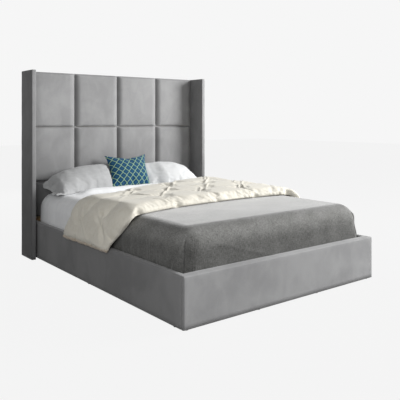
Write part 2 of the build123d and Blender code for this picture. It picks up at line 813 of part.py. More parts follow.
right_drape_shares = [
    (0.300, 0.872, 0.40),
    (0.299, 0.873, 0.50),
    (0.292, 0.872, 0.78),
    (0.288, 0.866, 0.88),
    (0.296, 0.858, 0.92),
]
top_tuck_shares = [
    # place across the bed and along it, as shares of half the mattress's width and of its length
    (-0.467, 0.406),
    (0.016, 0.426),
    (0.496, 0.414),
    (0.920, 0.394),
    (-0.667, 0.491),
    (-0.213, 0.511),
    (0.267, 0.506),
    (0.747, 0.501),
    (-0.507, 0.586),
    (0.027, 0.619),
    (0.507, 0.626),
    (0.920, 0.616),
    (0.267, 0.716),
    (0.747, 0.721),
    (0.920, 0.821),
]
drape_tuck_shares = [
    # side of the bed and place along it, as a share of the mattress's length
    (-1, 0.394),
    (-1, 0.541),
    (1, 0.505),
    (1, 0.721),
]
tuck_swell_share = 0.36


def duvet_section(plane, foot_share, head_share, depth_share):
    """Section of the duvet: flat underneath, rounded edges, three soft swells on top."""
    foot = mattress_foot + foot_share * mattress_length
    head = mattress_foot + head_share * mattress_length
    depth = duvet_depth * depth_share
    inset = depth / 2
    dip = depth * duvet_dip_share
    edge = depth * duvet_edge_share
    third = (head - foot - 2 * inset) / 3
    joints = [head - inset, head - inset - third, foot + inset + third, foot + inset]
    with BuildSketch(plane) as section:
        with BuildLine() as outline:
            Line((joints[3], 0), (joints[0], 0))
            ThreePointArc((joints[0], 0), (head, edge), (joints[0], dip))
            for start, stop in zip(joints, joints[1:]):
                ThreePointArc((start, dip), ((start + stop) / 2, depth), (stop, dip))
            ThreePointArc((joints[3], dip), (foot, edge), (joints[3], 0))
        make_face(outline.edges())
    return section.sketch


def side_plane(side, turn, x, z):
    """Plane of a drape section: it turns with the bend over the mattress edge."""
    angle = radians(turn)
    lean_x, lean_z = side * sin(angle), cos(angle)
    if turn < 90:
        x += bend_radius * sin(angle)
        z += bend_radius * cos(angle)
    return Plane(origin=(side * x, 0, z), x_dir=(0, 1, 0), z_dir=(lean_z, 0, -lean_x))


def tuck_plane(side, x, y, z):
    """Plane on the face of the duvet where a pintuck draws it in; side 0 is the top of the bed."""
    return Plane(origin=(x, y, z), x_dir=(0, 1, 0), z_dir=(side, 0, 1 - abs(side)))


# A pintuck as a funnel with rounded flanks, and the places where the duvet is drawn in
with BuildPart() as tuck_funnel:
    with BuildSketch(Plane.XZ):
        with BuildLine():
            Line((0, 0), (0, -tuck_depth))
            ThreePointArc(
                (0, -tuck_depth),
                (tuck_swell_share * tuck_reach, -tuck_swell_share * tuck_depth),
                (tuck_reach, 0),
            )
            Line((tuck_reach, 0), (0, 0))
        make_face()
    revolve(axis=Axis.Z)
duvet_top = bend_z + bend_radius + duvet_depth + duvet_press / 2
drape_place, drape_height = drape_stations[2][1:]
drape_face = drape_place + left_drape_shares[2][-1] * duvet_depth + duvet_press
tuck_planes = [
    tuck_plane(0, across * mattress_side, mattress_foot + along * mattress_length, duvet_top)
    for across, along in top_tuck_shares
]
tuck_planes += [
    tuck_plane(side, side * drape_face, mattress_foot + along * mattress_length, drape_height + drape_overlap)
    for side, along in drape_tuck_shares
]
left_sections = [
    duvet_section(side_plane(-1, *station), *shares)
    for station, shares in zip(drape_stations, left_drape_shares)
]
top_sections = [
    duvet_section(
        Plane(origin=(across * bend_x, 0, bend_z + bend_radius), x_dir=(0, 1, 0), z_dir=(1, 0, 0)), *shares
    )
    for across, *shares in top_shares
]
right_sections = [
    duvet_section(side_plane(1, *station), *shares)
    for station, shares in zip(drape_stations, right_drape_shares)
]
with BuildPart() as duvet:
    loft(left_sections + top_sections + right_sections[::-1])
    add(duvet_inside_form, mode=Mode.SUBTRACT)
    with Locations(*tuck_planes):
        add(tuck_funnel.part, mode=Mode.SUBTRACT)
save(duvet, "duvet")

# Pillows leaning back on the headboard, from the outer to the inner end. Shares: place across the
# pillow, run of the low edge and of the high edge from the pads, rise of the high edge, swell.
pillow_back_share = 0.9
left_pillow_shares = [
    (0, 1.34, 0.233, 0.26, 0.05),
    (0.07, 1.26, 0.17, 0.48, 0.42),
    (0.24, 1.15, 0.096, 0.73, 0.78),
    (0.46, 1.06, 0.063, 0.96, 1.0),
    (0.65, 1.02, 0.063, 1.0, 0.93),
    (0.80, 1.0, 0.078, 0.96, 0.58),
    (0.90, 0.985, 0.115, 0.68, 0.22),
    (1, 0.967, 0.152, 0.42, 0.05),
]
right_pillow_shares = [
    (0, 0.90, 0.15, 0.37, 0.05),
    (0.07, 0.92, 0.12, 0.56, 0.42),
    (0.23, 0.94, 0.08, 0.81, 0.78),
    (0.40, 0.96, 0.063, 0.96, 1.0),
    (0.60, 0.96, 0.063, 1.0, 0.93),
    (0.76, 0.96, 0.078, 0.93, 0.58),
    (0.88, 0.96, 0.115, 0.66, 0.22),
    (1, 0.96, 0.152, 0.42, 0.05),
]


def pillow(node, side, inner_end, shares):
    """A plump pillow, drawn in to thin ends and flat where it rests on the bed and the headboard."""
    width = mattress_side - pillow_inset - inner_end
    sections = [
        lens_section(
            side * (mattress_side - pillow_inset - across * width),
            (pad_front - low_run * pillow_run, pillow_floor + pillow_edge),
            (pad_front - high_run * pillow_run, pillow_floor + rise * pillow_rise),
            swell * pillow_swell,
            swell * pillow_swell * pillow_back_share,
        )
        for across, low_run, high_run, rise, swell in shares
    ]
    with BuildPart() as soft:
        loft(sections)
        block((-wing_inner, wing_inner), (mattress_foot, back_y), (0, pillow_floor), Mode.SUBTRACT)
        cut_along(pad_front - cloth_gap, back_y)
    save(soft, node)


pillow("left_pillow", -1, left_pillow_end, left_pillow_shares)
pillow("right_pillow", 1, right_pillow_end, right_pillow_shares)

# Square cushion between the pillows: crowned, with drawn-in sides and pointed corners
cushion_high_y = pad_front - cushion_stand_off
cushion_low = (cushion_high_y - cushion_run, pillow_floor)
cushion_high = (cushion_high_y, pillow_floor + cushion_rise)
cushion_span = hypot(cushion_run, cushion_rise)
cushion_shares = [
    (-0.5, 0.08), (-0.38, 0.5), (-0.2, 0.88), (0, 1), (0.2, 0.88), (0.38, 0.5), (0.5, 0.08)
]
cushion_plane = Plane(
    origin=(cushion_offset, (cushion_low[0] + cushion_high[0]) / 2, (cushion_low[1] + cushion_high[1]) / 2),
    x_dir=(1, 0, 0),
    z_dir=(0, -cushion_rise, cushion_run),
)
corner_x = cushion_width / 2
corner_y = cushion_span / 2
with BuildPart() as cushion:
    loft([
        lens_section(
            cushion_offset + across * cushion_width, cushion_low, cushion_high,
            swell * cushion_swell, swell * cushion_swell,
        )
        for across, swell in cushion_shares
    ])
    with BuildSketch(cushion_plane):
        with BuildLine():
            ThreePointArc((-corner_x, -corner_y), (0, cushion_draw / 4 - corner_y), (corner_x, -corner_y))
            ThreePointArc((corner_x, -corner_y), (corner_x - cushion_draw, 0), (corner_x, corner_y))
            ThreePointArc((corner_x, corner_y), (0, corner_y - cushion_draw), (-corner_x, corner_y))
            ThreePointArc((-corner_x, corner_y), (cushion_draw - corner_x, 0), (-corner_x, -corner_y))
        make_face()
    extrude(amount=2 * cushion_swell, both=True, mode=Mode.INTERSECT)
    block((-wing_inner, wing_inner), (mattress_foot, back_y), (0, pillow_floor), Mode.SUBTRACT)
save(cushion, "cushion")
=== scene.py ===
"""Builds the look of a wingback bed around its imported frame."""

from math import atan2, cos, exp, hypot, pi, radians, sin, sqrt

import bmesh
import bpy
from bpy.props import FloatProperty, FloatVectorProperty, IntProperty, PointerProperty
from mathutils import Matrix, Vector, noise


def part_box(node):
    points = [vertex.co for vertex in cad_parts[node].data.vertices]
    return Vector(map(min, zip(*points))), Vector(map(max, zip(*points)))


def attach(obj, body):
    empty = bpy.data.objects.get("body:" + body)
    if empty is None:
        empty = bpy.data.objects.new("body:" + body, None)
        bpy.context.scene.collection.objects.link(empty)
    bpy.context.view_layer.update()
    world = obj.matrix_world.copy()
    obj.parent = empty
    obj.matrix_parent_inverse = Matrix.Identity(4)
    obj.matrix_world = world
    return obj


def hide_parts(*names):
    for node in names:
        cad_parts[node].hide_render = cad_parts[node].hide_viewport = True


bl_info = {
    "name": "Wingback bed",
    "version": (1, 0, 0),
    "blender": (4, 5, 0),
    "location": "View3D > Sidebar > Bed",
    "description": "Dresses the frame of a wingback bed with its velvet, timber, steel and bedding",
    "category": "Object",
}

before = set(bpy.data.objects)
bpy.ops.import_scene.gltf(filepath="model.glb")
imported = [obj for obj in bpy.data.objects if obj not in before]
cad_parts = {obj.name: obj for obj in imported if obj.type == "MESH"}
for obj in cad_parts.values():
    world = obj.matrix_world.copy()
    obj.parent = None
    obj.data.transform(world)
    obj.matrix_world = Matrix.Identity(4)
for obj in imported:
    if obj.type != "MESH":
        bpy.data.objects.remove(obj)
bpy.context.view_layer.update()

# Places read from the frame, in metres
mattress_low, mattress_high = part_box("mattress")
mattress_side = mattress_high.x
bed_top = mattress_high.z
backing_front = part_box("headboard_backing_board")[0].y
ROOT = "bed"

# Sizes that several pieces share, in metres
TURNDOWN_HEAD = 0.706  # where the puffed edge of the top sheet ends towards the pillows
TURNDOWN_RUN = 0.125  # length of that edge along the bed
PLEAT_ROOM = 0.026  # how far mattress and sheet draw in under the blanket's corner pleats
THIN_SKIN = 0.003  # bedding closer to the mattress than this draws in with it
DUVET_HALF = 0.78  # half the width of the duvet's top, past which it hangs down
WELD = 1e-5  # points closer than this are one
NEAR = 1e-4  # closer than this to a face of the box counts as on it
SHARP = radians(50)  # edges that turn more than this stay sharp

# Heights over the floor at which a cloth changes its colour, in metres: where the painted shade and highlight of
# velvet and blanket change, and where the duvet's brown hem starts
VELVET_SHADE = (0.25, 1.20)
BLANKET_SIDE = (0.36, 0.465)
BLANKET_EDGE = (0.470, 0.508)
DUVET_HEM = (0.285, 0.30)


def length_property(name, description, value):
    """A length that the user can set."""
    return FloatProperty(name=name, description=description, default=value, unit="LENGTH")


def colour_property(name, description, value):
    """A colour that the user can set."""
    return FloatVectorProperty(
        name=name, description=description, subtype="COLOR", size=3, min=0, max=1, default=value
    )


class Sizes(bpy.types.PropertyGroup):
    """Sizes of the upholstery and the bedding that only show on their surface."""

    pad_roll: length_property("Pad roll", "Reach of the rounded left and right side of a headboard pad", 0.058)
    pad_end_roll: length_property("Pad end roll", "Reach of the rounded top and bottom of a headboard pad", 0.022)
    pad_crown: length_property("Pad crown", "Rise of a headboard pad's middle over its shoulders", 0.007)
    top_pad: length_property("Top padding", "How far the wadding lifts the top of headboard and wings", 0.007)
    pucker: length_property("Seam pucker", "Height of the small gathers along a seam", 0.0011)
    softness: length_property("Softness", "Height of the slow waves in padded velvet", 0.0010)
    cover_radius: length_property("Cover radius", "Rounding along the top of the rails and the foot end", 0.014)
    corner_radius: length_property("Blanket corner", "Corner radius of blanket and top sheet from above", 0.07)
    mattress_corner: length_property("Mattress corner", "Corner radius of the mattress seen from above", 0.11)
    edge_radius: length_property("Mattress edge", "Rounding along the top edge of the mattress", 0.05)
    soft_edge: length_property("Soft edge", "Slack rounding that bedding takes along the mattress edge", 0.115)
    cloth_step: length_property("Cloth step", "Spacing of the mesh lines in sheets and blanket", 0.022)
    tuck_depth: length_property("Tuck depth", "How deep a pintuck draws the duvet in", 0.002)
    crease: length_property("Crease height", "Height of the creases that run out from a pintuck", 0.005)
    lattice_count: IntProperty(name="Lattice diamonds", description="Diamonds across the small cushion", default=7)


class Colours(bpy.types.PropertyGroup):
    """Colours of the finishes, as plain linear values."""

    velvet: colour_property("Velvet", "Velvet brushed towards the light", (0.350, 0.350, 0.352))
    velvet_dark: colour_property("Velvet shade", "Velvet brushed away from the light", (0.285, 0.285, 0.288))
    blanket: colour_property("Blanket", "Pale yarn of the blanket", (0.225, 0.225, 0.218))
    blanket_dark: colour_property("Blanket shade", "Dark yarn of the blanket", (0.080, 0.080, 0.075))
    sheet: colour_property("Sheets", "White cotton of the sheets", (0.91, 0.92, 0.93))
    # The pillow colour is the painted shade of the left pillow; pillow_cotton paints the right one lighter, as
    # painted light
    pillow: colour_property("Pillows", "White cotton of the pillowcases", (0.43, 0.435, 0.438))
    duvet: colour_property("Duvet", "Cream cotton of the duvet", (0.76, 0.73, 0.645))
    cushion: colour_property("Cushion", "Blue ground of the cushion", (0.009, 0.052, 0.120))
    lattice: colour_property("Lattice", "Pale lines of the cushion", (0.34, 0.52, 0.30))
    timber: colour_property("Timber", "Planed softwood", (0.62, 0.42, 0.22))
    steel: colour_property("Steel", "Powder coat of the brackets", (0.035, 0.035, 0.038))


class Studio(bpy.types.PropertyGroup):
    """Camera and lamps."""

    lens: FloatProperty(name="Lens", description="Focal length", default=50.516, unit="CAMERA")
    shift: FloatProperty(name="Shift", description="Upward shift of the picture", default=-0.2012)
    yaw: FloatProperty(
        name="Yaw", description="Turn of the camera from the bed's length",
        default=radians(-37.97), subtype="ANGLE",
    )
    key: FloatProperty(name="Key light", description="Power of the large lamp on the right", default=500)
    side: FloatProperty(name="Side light", description="Power of the weak lamp on the left", default=50)
    back: FloatProperty(name="Back light", description="Power of the lamp behind the headboard", default=130)
    fill: FloatProperty(name="Fill light", description="Strength of the room's own light", default=0.20)
    backdrop: FloatProperty(name="Backdrop", description="Brightness of floor and backdrop", default=0.922)


class Wire:
    """A socket value that can be used in sums; each sum adds its Math node."""

    def __init__(self, nodes, socket):
        self.nodes = nodes
        self.socket = socket

    def calc(self, operation, *others):
        """One Math node with this value first."""
        values = {0: self, **{place + 1: other for place, other in enumerate(others)}}
        return self.nodes.add("ShaderNodeMath", {"operation": operation}, values)

    def __add__(self, other):
        return self.calc("ADD", other)

    def __mul__(self, other):
        return self.calc("MULTIPLY", other)

    def __sub__(self, other):
        return self.calc("SUBTRACT", other)

    def __rsub__(self, other):
        return self.calc("MULTIPLY", -1) + other

    __radd__ = __add__
    __rmul__ = __mul__


class Nodes:
    """A node tree in which add() makes every node."""

    def __init__(self, tree):
        self.tree = tree

    def add(self, kind, settings=None, inputs=None, out=0):
        """A node of one kind: its settings first, then the values or links of its inputs."""
        node = self.tree.nodes.new(kind)
        for name, value in (settings or {}).items():
            setattr(node, name, value)
        for name, value in (inputs or {}).items():
            self.feed(node.inputs[name], value)
        return Wire(self, node.outputs[out])

    def feed(self, socket, value):
        """Sets a socket to a value, or links it."""
        if isinstance(value, Wire):
            self.tree.links.new(value.socket, socket)
        elif socket.type == "RGBA":
            socket.default_value = (*value[:3], 1)
        else:
            socket.default_value = value


class Finish(Nodes):
    """A material with one Principled surface."""

    def __init__(self, name, roughness=0.8, metallic=0.0, sheen=0.0, sheen_roughness=0.5, coat=0.0, gloss=0.5):
        self.material = bpy.data.materials.new(name)
        self.material.use_nodes = True
        super().__init__(self.material.node_tree)
        self.surface = self.tree.nodes["Principled BSDF"]
        constants = {
            "Roughness": roughness, "Metallic": metallic, "Coat Weight": coat,
            "Sheen Weight": sheen, "Sheen Roughness": sheen_roughness, "Specular IOR Level": gloss,
        }
        for socket, value in constants.items():
            self.surface.inputs[socket].default_value = value

    def place(self, source="Object", scale=(1, 1, 1), turn=(0, 0, 0)):
        """Coordinates on the piece, from its own place or its UV map."""
        start = self.add("ShaderNodeTexCoord", out=source)
        return self.add("ShaderNodeMapping", None, {"Vector": start, "Scale": scale, "Rotation": turn})

    def part(self, vector, axis):
        """One of the three parts of a vector."""
        return self.add("ShaderNodeSeparateXYZ", None, {0: vector}, out=axis)

    def noise(self, place, scale, detail=3, distortion=0.0, roughness=0.5):
        """Soft random patches, from 0 to 1."""
        return self.add("ShaderNodeTexNoise", None, {
            "Vector": place, "Scale": scale, "Detail": detail, "Distortion": distortion, "Roughness": roughness,
        })

    def ramp(self, value, low, high):
        """0 below low, 1 above high, smooth between."""
        return self.add(
            "ShaderNodeMapRange", {"interpolation_type": "SMOOTHSTEP"},
            {"Value": value, "From Min": low, "From Max": high},
        )

    def blend(self, factor, first, second, kind="MIX"):
        """Mixes two colours."""
        return self.add(
            "ShaderNodeMix", {"data_type": "RGBA", "blend_type": kind}, {0: factor, 6: first, 7: second}, out=2
        )

    def tint(self, colour, share):
        """A colour times a share that varies over the surface."""
        grey = self.add("ShaderNodeCombineColor", None, {0: share, 1: share, 2: share})
        return self.blend(1.0, colour, grey, "MULTIPLY")

    def paint(self, colour):
        """Feeds the base colour."""
        self.feed(self.surface.inputs["Base Color"], colour)

    def bump(self, height, distance, strength=1.0):
        """Feeds the normal from a height in metres times distance."""
        settings = {"Height": height, "Distance": distance, "Strength": strength}
        normal = self.add("ShaderNodeBump", None, settings)
        self.feed(self.surface.inputs["Normal"], normal)


made = {}


def finish_of(recipe):
    """The material that a recipe makes, made once."""
    if recipe.__name__ not in made:
        made[recipe.__name__] = recipe(bpy.context.scene.bed_colours).material
    return made[recipe.__name__]


def velvet_of(name, colours, side_shade, low_shade):
    """Grey velvet with its nap brushed both ways, and painted shade on faces turned left and lower down."""
    finish = Finish(name, roughness=0.9, sheen=0.12, sheen_roughness=0.4, gloss=0.15)
    place = finish.place()
    patches = finish.noise(place, 3.2, detail=4, distortion=0.7)
    strokes = finish.noise(finish.place(scale=(1, 1, 0.55), turn=(0.5, 0.3, 0.2)), 11, distortion=1.0)
    brushed = finish.ramp(patches * 0.7 + strokes * 0.3, 0.34, 0.66)
    pile = finish.noise(place, 420, detail=2)
    shade = finish.blend(brushed, colours.velvet_dark, colours.velvet)
    left = finish.part(finish.add("ShaderNodeNewGeometry", out="Normal"), 0) * -1
    lit = finish.ramp(pile, 0.25, 0.75) * 0.10 + 0.95
    # Painted shade: faces turned left, and parts below the top of VELVET_SHADE, are painted darker
    lit = lit * (1 - finish.ramp(left, 0.12, 0.65) * side_shade)
    lit = lit * (1 - (1 - finish.ramp(finish.part(place, 2), *VELVET_SHADE)) * low_shade)
    finish.paint(finish.tint(shade, lit))
    finish.bump(pile + patches * 0.5, 0.0006, 0.6)
    return finish


def velvet(colours):
    """Velvet of the rails and the foot end, with painted shade on faces turned left."""
    return velvet_of("velvet", colours, 0.34, 0.0)


def pad_velvet(colours):
    """Velvet of the headboard, with painted shade on faces turned left and lower down."""
    return velvet_of("headboard_velvet", colours, 0.42, 0.36)


def wing_velvet(colours):
    """Velvet of the wings, with painted shade on faces turned left, darkest near the floor."""
    return velvet_of("wing_velvet", colours, 0.30, 0.46)


def cotton(name, colour, shade):
    """White bed cotton with a fine weave and shallow creases."""
    finish = Finish(name, roughness=0.85, sheen=0.15, gloss=0.15)
    place = finish.place()
    creases = finish.noise(finish.place(scale=(1, 1, 0.5)), 16, detail=4, distortion=0.8)
    weave = finish.noise(place, 900, detail=1)
    # Painted shade: the cloth is painted a little darker where the creases sink
    finish.paint(finish.blend(finish.ramp(creases, 0.3, 0.7), colour * shade, colour))
    finish.bump(creases + weave * 0.06, 0.005, 0.3)
    return finish


def sheet_cotton(colours):
    """Cotton of the fitted sheet and the top sheet."""
    return cotton("sheet_cotton", Vector(colours.sheet), 0.93)


def pillow_cotton(colours):
    """Cotton of the pillowcases, with painted shade on the left pillow and painted light on the right one."""
    finish = cotton("pillow_cotton", Vector(colours.pillow), 0.92)
    # Painted light and shade: across the middle of the bed the cotton turns from the darker painted shade of the
    # left pillow to the lighter painted light of the right one
    painted_light_mask = finish.ramp(finish.part(finish.place(), 0), -0.1, 0.1)
    base_cloth = Wire(finish, finish.surface.inputs["Base Color"].links[0].from_socket)
    finish.paint(finish.blend(painted_light_mask * 0.75, base_cloth, (0.76, 0.77, 0.775)))
    return finish


def heather(colours):
    """Blanket cloth: pale and dark yarns crossing, with short thicker slubs; painted shade low on its sides and a
    painted highlight along the mattress edge.
    """
    finish = Finish("blanket_weave", roughness=0.95, sheen=1.0, sheen_roughness=0.3, gloss=0.15)
    cloth = finish.place("UV")
    along = finish.noise(finish.place("UV", scale=(190, 46, 1)), 1, roughness=0.7)
    across = finish.noise(finish.place("UV", scale=(46, 190, 1)), 1, roughness=0.7)
    yarn = finish.noise(cloth, 260, roughness=0.8)
    patches = finish.noise(cloth, 9)
    tone = along * 0.34 + across * 0.26 + yarn * 0.22 + patches * 0.18
    woven = finish.blend(finish.ramp(tone, 0.36, 0.64), colours.blanket_dark, colours.blanket)
    height = finish.part(finish.place(), 2)
    # Painted shade and highlight: darker low on the sides, lightest on the rounded mattress edge, a little less on
    # the top
    lit = finish.ramp(height, *BLANKET_SIDE) * 0.52 + 0.78 - finish.ramp(height, *BLANKET_EDGE) * 0.25
    finish.paint(finish.tint(woven, lit))
    finish.bump(tone, 0.0018, 0.8)
    return finish


def cream(colours):
    """Cream duvet cotton with painted shade, darker and warmer, in its creases, and brown along its crumpled hem."""
    finish = Finish("duvet_cotton", roughness=0.75, sheen=0.2, gloss=0.15)
    place = finish.place()
    creases = finish.noise(place, 30, detail=5, distortion=0.9, roughness=0.6)
    weave = finish.noise(place, 1000, detail=1)
    # Painted shade: the cloth is painted darker and warmer where the creases sink
    cloth = finish.blend(finish.ramp(creases, 0.2, 0.6), (0.70, 0.66, 0.565), colours.duvet)
    hem = 1 - finish.ramp(finish.part(place, 2) + creases * 0.02, *DUVET_HEM)
    finish.paint(finish.blend(hem * 0.7, cloth, (0.42, 0.33, 0.24)))
    finish.bump(creases + weave * 0.04, 0.003, 0.25)
    return finish


def lattice(colours):
    """Blue cushion cloth with a pale trellis; each diamond has a lighter heart."""
    finish = Finish("cushion_lattice", roughness=0.85, sheen=0.1, gloss=0.15)
    count = bpy.context.scene.bed_sizes.lattice_count
    cloth = finish.place("UV")
    across, up = finish.part(cloth, 0), finish.part(cloth, 1) * 0.95
    sway = finish.noise(cloth, 40, detail=1) * 0.06
    rising = (across + up) * count + sway
    falling = (across - up) * count + sway
    edges = [
        (line + (other * (2 * pi)).calc("SINE") * 0.025).calc("PINGPONG", 0.5)
        for line, other in ((rising, falling), (falling, rising))
    ]
    nearest = edges[0].calc("MINIMUM", edges[1])
    line = 1 - finish.ramp(nearest, 0.030, 0.065)
    heart = finish.ramp(nearest, 0.24, 0.42)
    weave = finish.noise(finish.place("UV", scale=(240, 240, 1)), 1, detail=2)
    ground = finish.blend(heart, colours.cushion, (0.014, 0.082, 0.170))
    base_cloth = finish.blend(finish.ramp(weave, 0.35, 0.75) * 0.3, ground, (0.03, 0.13, 0.24))
    finish.paint(finish.blend(line, base_cloth, colours.lattice))
    finish.bump(weave + line * 0.5, 0.0008, 0.7)
    return finish


def ticking(colours):
    """Knitted mattress ticking, quilted in a fine wave."""
    finish = Finish("mattress_ticking", roughness=0.9)
    place = finish.place()
    wave = finish.add(
        "ShaderNodeTexWave", {"wave_type": "BANDS", "bands_direction": "DIAGONAL"},
        {"Vector": place, "Scale": 6, "Distortion": 3, "Detail": 1},
    )
    knit = finish.noise(place, 700, detail=1)
    finish.paint(finish.blend(wave, (0.72, 0.72, 0.69), (0.83, 0.83, 0.81)))
    finish.bump(wave + knit * 0.1, 0.002, 0.6)
    return finish


def wood(name, colours, along, tint):
    """Planed wood with its grain along one axis."""
    finish = Finish(name, roughness=0.6)
    scale = [26, 26, 26]
    scale[along] = 1.6
    rings = finish.noise(finish.place(scale=scale), 1, detail=4, distortion=1.2)
    pores = finish.noise(finish.place(scale=[value * 9 for value in scale]), 1, detail=2)
    grain = finish.ramp(rings, 0.3, 0.7) * 0.75 + pores * 0.25
    colour = Vector(colours.timber) * tint
    finish.paint(finish.blend(grain, colour * 0.62, colour))
    finish.bump(grain, 0.0006, 0.6)
    return finish


def timber_across(colours):
    """Softwood rails that lie across the bed."""
    return wood("timber_across", colours, 0, 1.0)


def timber_along(colours):
    """Softwood ledges and beam that run along the bed."""
    return wood("timber_along", colours, 1, 1.0)


def timber_up(colours):
    """Softwood stiles and legs that stand upright."""
    return wood("timber_up", colours, 2, 1.0)


def birch(colours):
    """Pale bent-wood slats."""
    return wood("birch_slats", colours, 0, 1.22)


def chipboard(colours):
    """Pressed board with flakes and raw edges."""
    finish = Finish("pressed_board", roughness=0.8)
    flakes = finish.add(
        "ShaderNodeTexVoronoi", {"feature": "F1"}, {"Vector": finish.place(scale=(1, 1, 1.7)), "Scale": 170}
    )
    speckle = finish.noise(finish.place(), 90, detail=4)
    tone = finish.ramp(flakes * 0.6 + speckle * 0.4, 0.15, 0.75)
    finish.paint(finish.blend(tone, (0.30, 0.20, 0.11), (0.60, 0.45, 0.27)))
    finish.bump(flakes, 0.0005, 0.7)
    return finish


def powder_coat(colours):
    """Black powder coat with a fine orange-peel."""
    finish = Finish("powder_coat", roughness=0.45, coat=0.1)
    peel = finish.noise(finish.place(), 650, detail=2)
    finish.paint(finish.blend(peel, colours.steel, (0.06, 0.06, 0.064)))
    finish.bump(peel, 0.0003, 0.5)
    return finish


def zinc(colours):
    """Zinc plated steel with a faint yellow bloom."""
    finish = Finish("zinc_plate", roughness=0.32, metallic=1.0)
    bloom = finish.noise(finish.place(), 90)
    finish.paint(finish.blend(bloom, (0.58, 0.59, 0.60), (0.72, 0.70, 0.62)))
    finish.feed(finish.surface.inputs["Roughness"], bloom * 0.25 + 0.22)
    return finish


def nylon(colours):
    """Moulded black plastic of the glides."""
    finish = Finish("moulded_plastic", roughness=0.5)
    grain = finish.noise(finish.place(), 500, detail=2)
    finish.paint(finish.blend(grain, (0.02, 0.02, 0.021), (0.05, 0.05, 0.052)))
    finish.bump(grain, 0.0002, 0.5)
    return finish


def dust_cloth(colours):
    """Thin dark spun cloth over the back of the headboard."""
    finish = Finish("spun_cloth", roughness=0.95)
    place = finish.place()
    dots = finish.add("ShaderNodeTexVoronoi", {"feature": "F1"}, {"Vector": place, "Scale": 380})
    fibres = finish.noise(finish.place(scale=(1, 1, 3)), 60, detail=4, distortion=1.0)
    finish.paint(finish.blend(finish.ramp(fibres, 0.3, 0.7), (0.022, 0.022, 0.024), (0.050, 0.050, 0.053)))
    finish.bump(dots * 0.5 + fibres, 0.0008, 0.8)
    return finish


# Mesh helpers

def spread(first, last, count):
    """Evenly spaced places from first to last."""
    return [first + (last - first) * step / (count - 1) for step in range(count)]


def smooth(value):
    """Smooth step from 0 to 1."""
    value = min(max(value, 0.0), 1.0)
    return value * value * (3 - 2 * value)


def wander(place, scale, seed=0.0):
    """Smooth noise from -1 to 1 at a place; scale is waves to the metre."""
    return noise.noise(Vector(place) * scale + Vector((seed, seed * 1.7, seed * 2.3)))


def box_mesh(low, high):
    """A closed box as a new mesh."""
    low, high = Vector(low), Vector(high)
    bm = bmesh.new()
    size = Matrix.Diagonal((*(high - low), 1))
    bmesh.ops.create_cube(bm, size=1, matrix=Matrix.Translation((low + high) / 2) @ size)
    return bm


def round_edges(bm, edges, radius, segments=4):
    """Bevels some edges to a round."""
    bmesh.ops.bevel(
        bm, geom=list(edges), offset=radius, offset_type="OFFSET", segments=segments, profile=0.5,
        affect="EDGES", clamp_overlap=True, material=-1,
    )


def whole(bm):
    """All that a mesh is made of."""
    return bm.verts[:] + bm.edges[:] + bm.faces[:]


def slice_all(bm, step, extra=((), (), ())):
    """Cuts a mesh into a grid with about one step between its lines, and at some extra places."""
    for axis in range(3):
        normal = Vector([float(number == axis) for number in range(3)])
        low = min(vert.co[axis] for vert in bm.verts)
        high = max(vert.co[axis] for vert in bm.verts)
        count = max(2, int((high - low) / step) + 1)
        for place in spread(low, high, count)[1:-1] + list(extra[axis]):
            bmesh.ops.bisect_plane(bm, geom=whole(bm), dist=1e-6, plane_co=normal * place, plane_no=normal)


def face_height(face):
    """Height of a face's middle."""
    return face.calc_center_median().z


def along_axis(edge, axis):
    """Whether an edge runs along an axis."""
    run = edge.verts[1].co - edge.verts[0].co
    return abs(run[axis]) > 0.9 * run.length


def upright_edges(bm):
    """The edges that run up."""
    return [edge for edge in bm.edges if along_axis(edge, 2)]


def push_out(bm, amount):
    """Moves each point along its normal by amount(place, normal)."""
    bm.normal_update()
    moves = [(vert, vert.normal * amount(vert.co, vert.normal)) for vert in bm.verts]
    for vert, move in moves:
        vert.co += move


def groove(distance, width, depth):
    """A sewn seam: how far the cloth is drawn in at a distance from the seam line."""
    return -depth * exp(-((distance / width) ** 2))


def mesh_of(name, bm):
    """Turns a finished shape into a mesh."""
    mesh = bpy.data.meshes.new(name)
    bm.to_mesh(mesh)
    bm.free()
    return mesh


def link(name, data):
    """Puts a mesh, a lamp or the camera in the scene."""
    item = bpy.data.objects.new(name, data)
    bpy.context.scene.collection.objects.link(item)
    return item


def add_piece(name, bm, recipe, replaces=()):
    """Makes a mesh a finished piece that rides on the bed and stands for some CAD nodes."""
    mesh = mesh_of(name, bm)
    mesh.materials.append(finish_of(recipe))
    mesh.shade_smooth()
    mesh.set_sharp_from_angle(angle=SHARP)
    piece = link(name, mesh)
    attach(piece, ROOT)
    if replaces:
        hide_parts(*replaces)
    return piece


def add_modifier(piece, kind, **settings):
    """A modifier with its settings."""
    modifier = piece.modifiers.new(kind.title(), kind)
    for name, value in settings.items():
        setattr(modifier, name, value)
    return modifier


def add_wall(piece, wall):
    """Gives a skin its thickness, inwards."""
    add_modifier(piece, "SOLIDIFY", thickness=wall, offset=-1)


def evaluated_mesh(piece):
    """A plain mesh of the piece with its modifiers applied."""
    bpy.context.view_layer.update()
    graph = bpy.context.evaluated_depsgraph_get()
    return bpy.data.meshes.new_from_object(piece.evaluated_get(graph))


def bake_modifiers(piece):
    """Applies all modifiers of a piece to its mesh."""
    mesh = evaluated_mesh(piece)
    piece.modifiers.clear()
    piece.data = mesh


